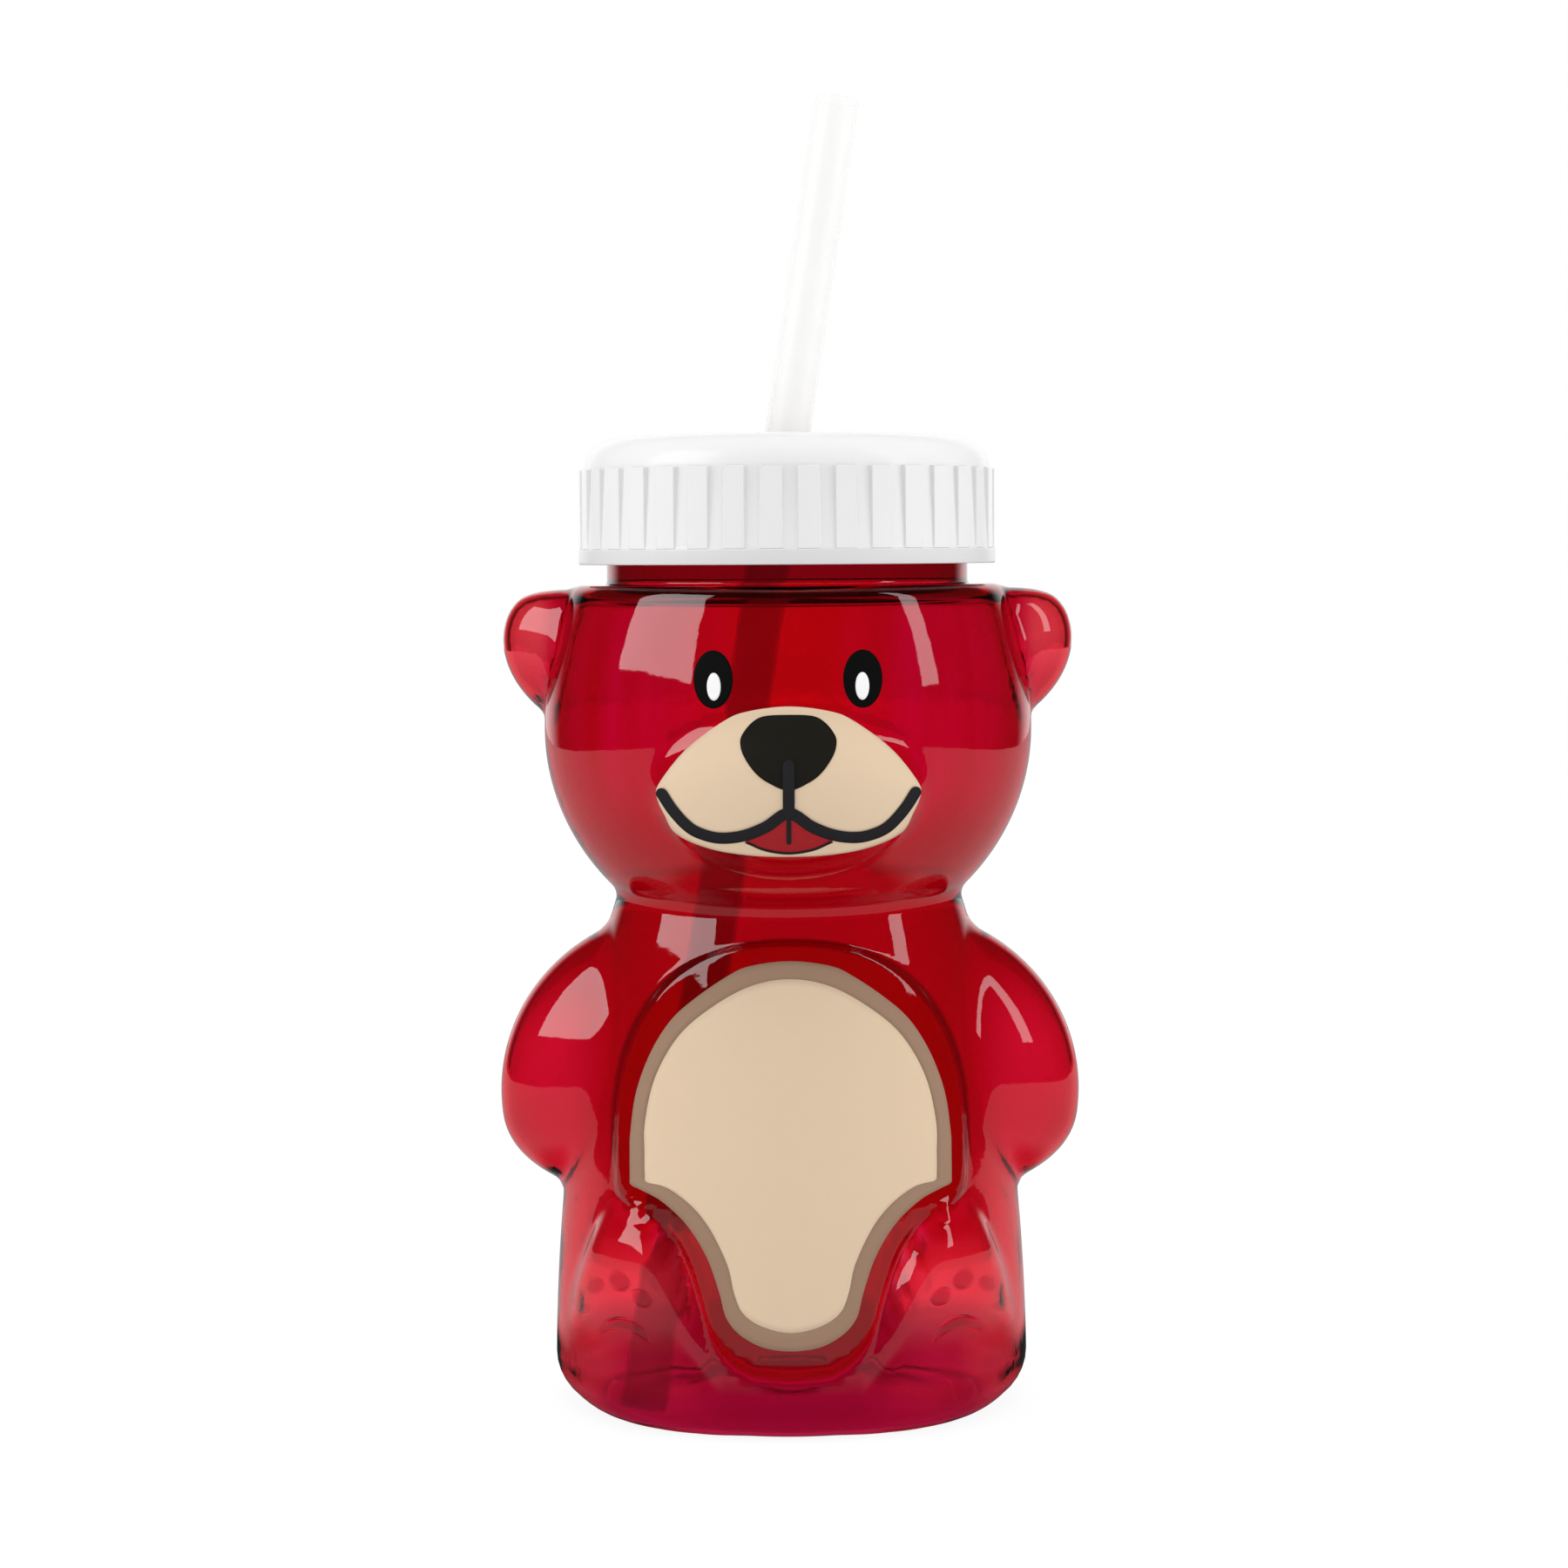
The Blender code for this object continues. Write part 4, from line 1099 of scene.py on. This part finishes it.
def stroke(line, half_width, steps):
    """Flat places across a line with round ends."""
    line = np.array(line, float)
    before = np.vstack([2 * line[0] - line[1], line[:-1]])
    after = np.vstack([line[1:], 2 * line[-1] - line[-2]])
    bends = curve(before[:-1], line[:-1], after[:-1], after[1:], steps)
    path = np.vstack([bends, line[-1]])
    ways = np.gradient(path, axis=0)
    ways /= np.linalg.norm(ways, axis=1)[:, None]
    cap = np.linspace(math.pi / 2, 0, STROKE_END_STEPS + 1)[:-1]
    head = [path[0] - ways[0] * half_width * math.sin(a) for a in cap]
    tail = [path[-1] + ways[-1] * half_width * math.sin(a) for a in reversed(cap)]
    widths = [math.cos(a) for a in cap] + [1] * len(path) + [math.cos(a) for a in reversed(cap)]
    path = np.vstack([head, path, tail])
    ways = np.vstack([[ways[0]] * len(cap), ways, [ways[-1]] * len(cap)])
    across = np.stack([-ways[:, 1], ways[:, 0]], -1) * np.array(widths)[:, None] * half_width
    return np.array([path + across * share for share in np.linspace(-1, 1, STROKE_ROWS)])


def print_on(name, flats, lift, finish):
    """Printed ink as a thin closed film on the skin. Each flat comes with what it adds to the lift."""
    work = bmesh.new()
    for flat, extra in flats:
        bottom = sheet(name, laid(flat, lift + extra))
        work.from_mesh(bottom)
        bpy.data.meshes.remove(bottom)
    forward = [face for face in work.faces if face.normal.y > 0]
    bmesh.ops.reverse_faces(work, faces=forward)
    bmesh.ops.solidify(work, geom=work.faces[:], thickness=-INK_THICK * MM)
    bmesh.ops.recalc_face_normals(work, faces=work.faces)
    return piece(name, mesh_from(name, work), "bottle", finish, name.removesuffix("_ink"))


def make_belly_prints(tan, brown):
    border, belly = smooth_outline(BORDER_OUTLINE), smooth_outline(BELLY_OUTLINE)
    edge = patch(
        BELLY_CENTRE,
        lambda turn: polar(belly, BELLY_CENTRE, turn),
        lambda turn: polar(border, BELLY_CENTRE, turn),
        rings=3,
    )
    print_on("belly_border_ink", [(edge, 0)], BELLY_LIFT, brown)
    inside = filled(BELLY_OUTLINE, BELLY_CENTRE, rings=24)
    print_on("belly_print_ink", [(inside, 0)], BELLY_LIFT, tan)


def make_muzzle_prints(tan):
    muzzle = filled(MUZZLE_OUTLINE, MUZZLE_CENTRE, rings=24)
    print_on("muzzle_print_ink", [(muzzle, 0)], FACE_LIFT, tan)
    nose = filled(NOSE_OUTLINE, NOSE_CENTRE, rings=10)
    print_on("nose_print_ink", [(nose, 0)], UPPER_LIFT, ink("nose_black_ink", *NOSE_BLACK))
    tongue = filled(TONGUE_OUTLINE, TONGUE_CENTRE, rings=8)
    red = ink("tongue_ink", *TONGUE_RED)
    print_on("tongue_print_ink", [(tongue, 0)], UPPER_LIFT, red)
    other_side = [(-x, z) for x, z in MOUTH_SIDE[:0:-1]]
    lines = [
        (stroke([*other_side, *MOUTH_SIDE], MOUTH_HALF_LINE, steps=8), 0),
        (stroke(MOUTH_BAR, MOUTH_HALF_LINE, steps=24), MOUTH_BAR_LIFT),
        (stroke(TONGUE_FOLD, TONGUE_FOLD_HALF_LINE, steps=16), TONGUE_FOLD_LIFT),
        (stroke(TONGUE_EDGE, TONGUE_EDGE_HALF_LINE, steps=8), 0),
    ]
    print_on("mouth_print_ink", lines, MOUTH_LIFT, ink("line_black_ink", *LINE_BLACK))


def make_eyes():
    black, white = ink("eye_black_ink", *EYE_BLACK), ink("white_ink", *WHITE)
    for side, name in ((-1, "right"), (1, "left")):
        eye, glint = oval(side, EYE, rings=8), oval(side, GLINT, rings=4)
        print_on(f"eye_{name}_ink", [(eye, 0)], FACE_LIFT, black)
        print_on(f"eye_glint_{name}_ink", [(glint, 0)], UPPER_LIFT, white)


def make_prints():
    tan = ink("tan_ink", *TAN)
    make_belly_prints(tan, ink("brown_ink", *BROWN))
    make_muzzle_prints(tan)
    make_eyes()


def make_camera():
    lens = bpy.data.cameras.new("camera")
    lens.sensor_width = SENSOR
    lens.lens = SENSOR * FOCAL_PIXELS / PHOTO_WIDTH
    lens.clip_start = CLIP_START
    camera = bpy.data.objects.new("camera", lens)
    scene.collection.objects.link(camera)
    camera.matrix_world = (
        Matrix.Translation(Vector(CAMERA_PLACE) * MM)
        @ Matrix.Rotation(math.radians(90 - CAMERA_DOWN), 4, "X")
        @ Matrix.Rotation(math.radians(CAMERA_ROLL), 4, "Z")
    )
    scene.camera = camera


def area_light(name, azimuth, away, low, high, width, radiance, mirrored):
    """An upright rectangle of light, either mirrored or only shone on what isn't mirror-like."""
    lamp = bpy.data.lights.new(name, "AREA")
    lamp.shape = "RECTANGLE"
    lamp.size, lamp.size_y = width, high - low
    lamp.energy = radiance * math.pi * width * (high - low)
    light = bpy.data.objects.new(name, lamp)
    scene.collection.objects.link(light)
    turn = math.radians(azimuth)
    way = Vector((math.sin(turn), -math.cos(turn), 0))
    light.location = way * away + Vector((0, 0, (low + high) / 2))
    light.rotation_mode = "QUATERNION"
    light.rotation_quaternion = way.to_track_quat("Z", "Y")
    light.visible_glossy = mirrored
    light.visible_diffuse = not mirrored
    light.visible_camera = False
    light.visible_transmission = False
    return light


def make_lights():
    """The upright lights, and one that lies flat overhead."""
    lights = {name: area_light(name, *values) for name, values in LIGHTS.items()}
    lights["overhead"].location = OVERHEAD_PLACE
    lights["overhead"].rotation_quaternion = (1, 0, 0, 0)


def ray_kinds(paint):
    """1 for rays from the camera, for rays through the bottle and for mirrored rays."""
    camera = paint.add("ShaderNodeLightPath", output="Is Camera Ray")
    outputs = camera.socket.node.outputs
    others = ("Is Transmission Ray", "Is Glossy Ray")
    return camera, *(Value(paint, outputs[name]) for name in others)


def make_world():
    """White where it is looked at. Mirrored, it is a dark room with a white sweep behind."""
    world = bpy.data.worlds.new("studio")
    scene.world = world
    paint = Paint("studio", world)
    camera, through, mirrored = ray_kinds(paint)
    way = paint.add("ShaderNodeTexCoord", output="Generated")
    behind = paint.add("ShaderNodeSeparateXYZ", None, {0: way}, "Y").ramp(*SWEEP_FROM)
    seen = camera + through
    room = behind * (1 - DARK_ROOM_LEVEL) + DARK_ROOM_LEVEL
    level = seen + mirrored * room + (1 - seen - mirrored) * ROOM_LEVEL
    surface = paint.add("ShaderNodeBackground", None, {"Color": rgb(1, 1, 1), "Strength": level})
    paint.add("ShaderNodeOutputWorld", None, {"Surface": surface})


def make_floor():
    """A white table, matt for the light that falls on it and glowing evenly for the camera, with a
    painted shadow of the bottle in the glow seen through the bottle and mirrored.
    """
    work = bmesh.new()
    bmesh.ops.create_grid(work, x_segments=1, y_segments=1, size=1)
    wide, deep = (half * MM for half in TABLE_HALF)
    place = Matrix.Translation((0, TABLE_BACK * MM, 0)) @ Matrix.Diagonal((wide, deep, 1, 1))
    bmesh.ops.transform(work, verts=work.verts, matrix=place)
    floor = bpy.data.objects.new("table", mesh_from("table", work))
    scene.collection.objects.link(floor)
    paint = Paint("table_white")
    camera, through, mirrored = ray_kinds(paint)
    matt = paint.add("ShaderNodeBsdfDiffuse", None, {"Color": rgb(*[TABLE_GREY] * 3)})
    spread = paint.add("ShaderNodeVectorMath", {"operation": "LENGTH"}, {0: paint.where()}, "Value")
    # Painted shadow of the bottle in the table's glow, through the bottle and mirrored.
    shaded, near = 1 - spread.past(*SHADED_UP_TO), 1 - spread.past(*NEAR_SHADOW_UP_TO)
    seen_level, through_level, mirrored_level = TABLE_LEVELS
    through_shadow_loss, mirrored_shadow_loss = TABLE_SHADOW_LOSSES
    level = camera * seen_level + through * (through_level - shaded * through_shadow_loss)
    level = level + mirrored * (mirrored_level - near * mirrored_shadow_loss)
    glow = paint.add("ShaderNodeEmission", None, {"Color": rgb(1, 1, 1), "Strength": level})
    camera_share, through_share = TABLE_SHARES
    share = camera * camera_share + through * through_share + mirrored
    surface = paint.add("ShaderNodeMixShader", None, {0: share, 1: matt, 2: glow})
    floor.data.materials.append(paint.finish(surface))


make_camera()
make_bear(red_plastic())
make_lid(white_plastic())
make_seal(silicone())
make_straw(milky_plastic())
make_prints()
make_floor()
make_lights()
make_world()
scene.view_settings.view_transform = "Standard"
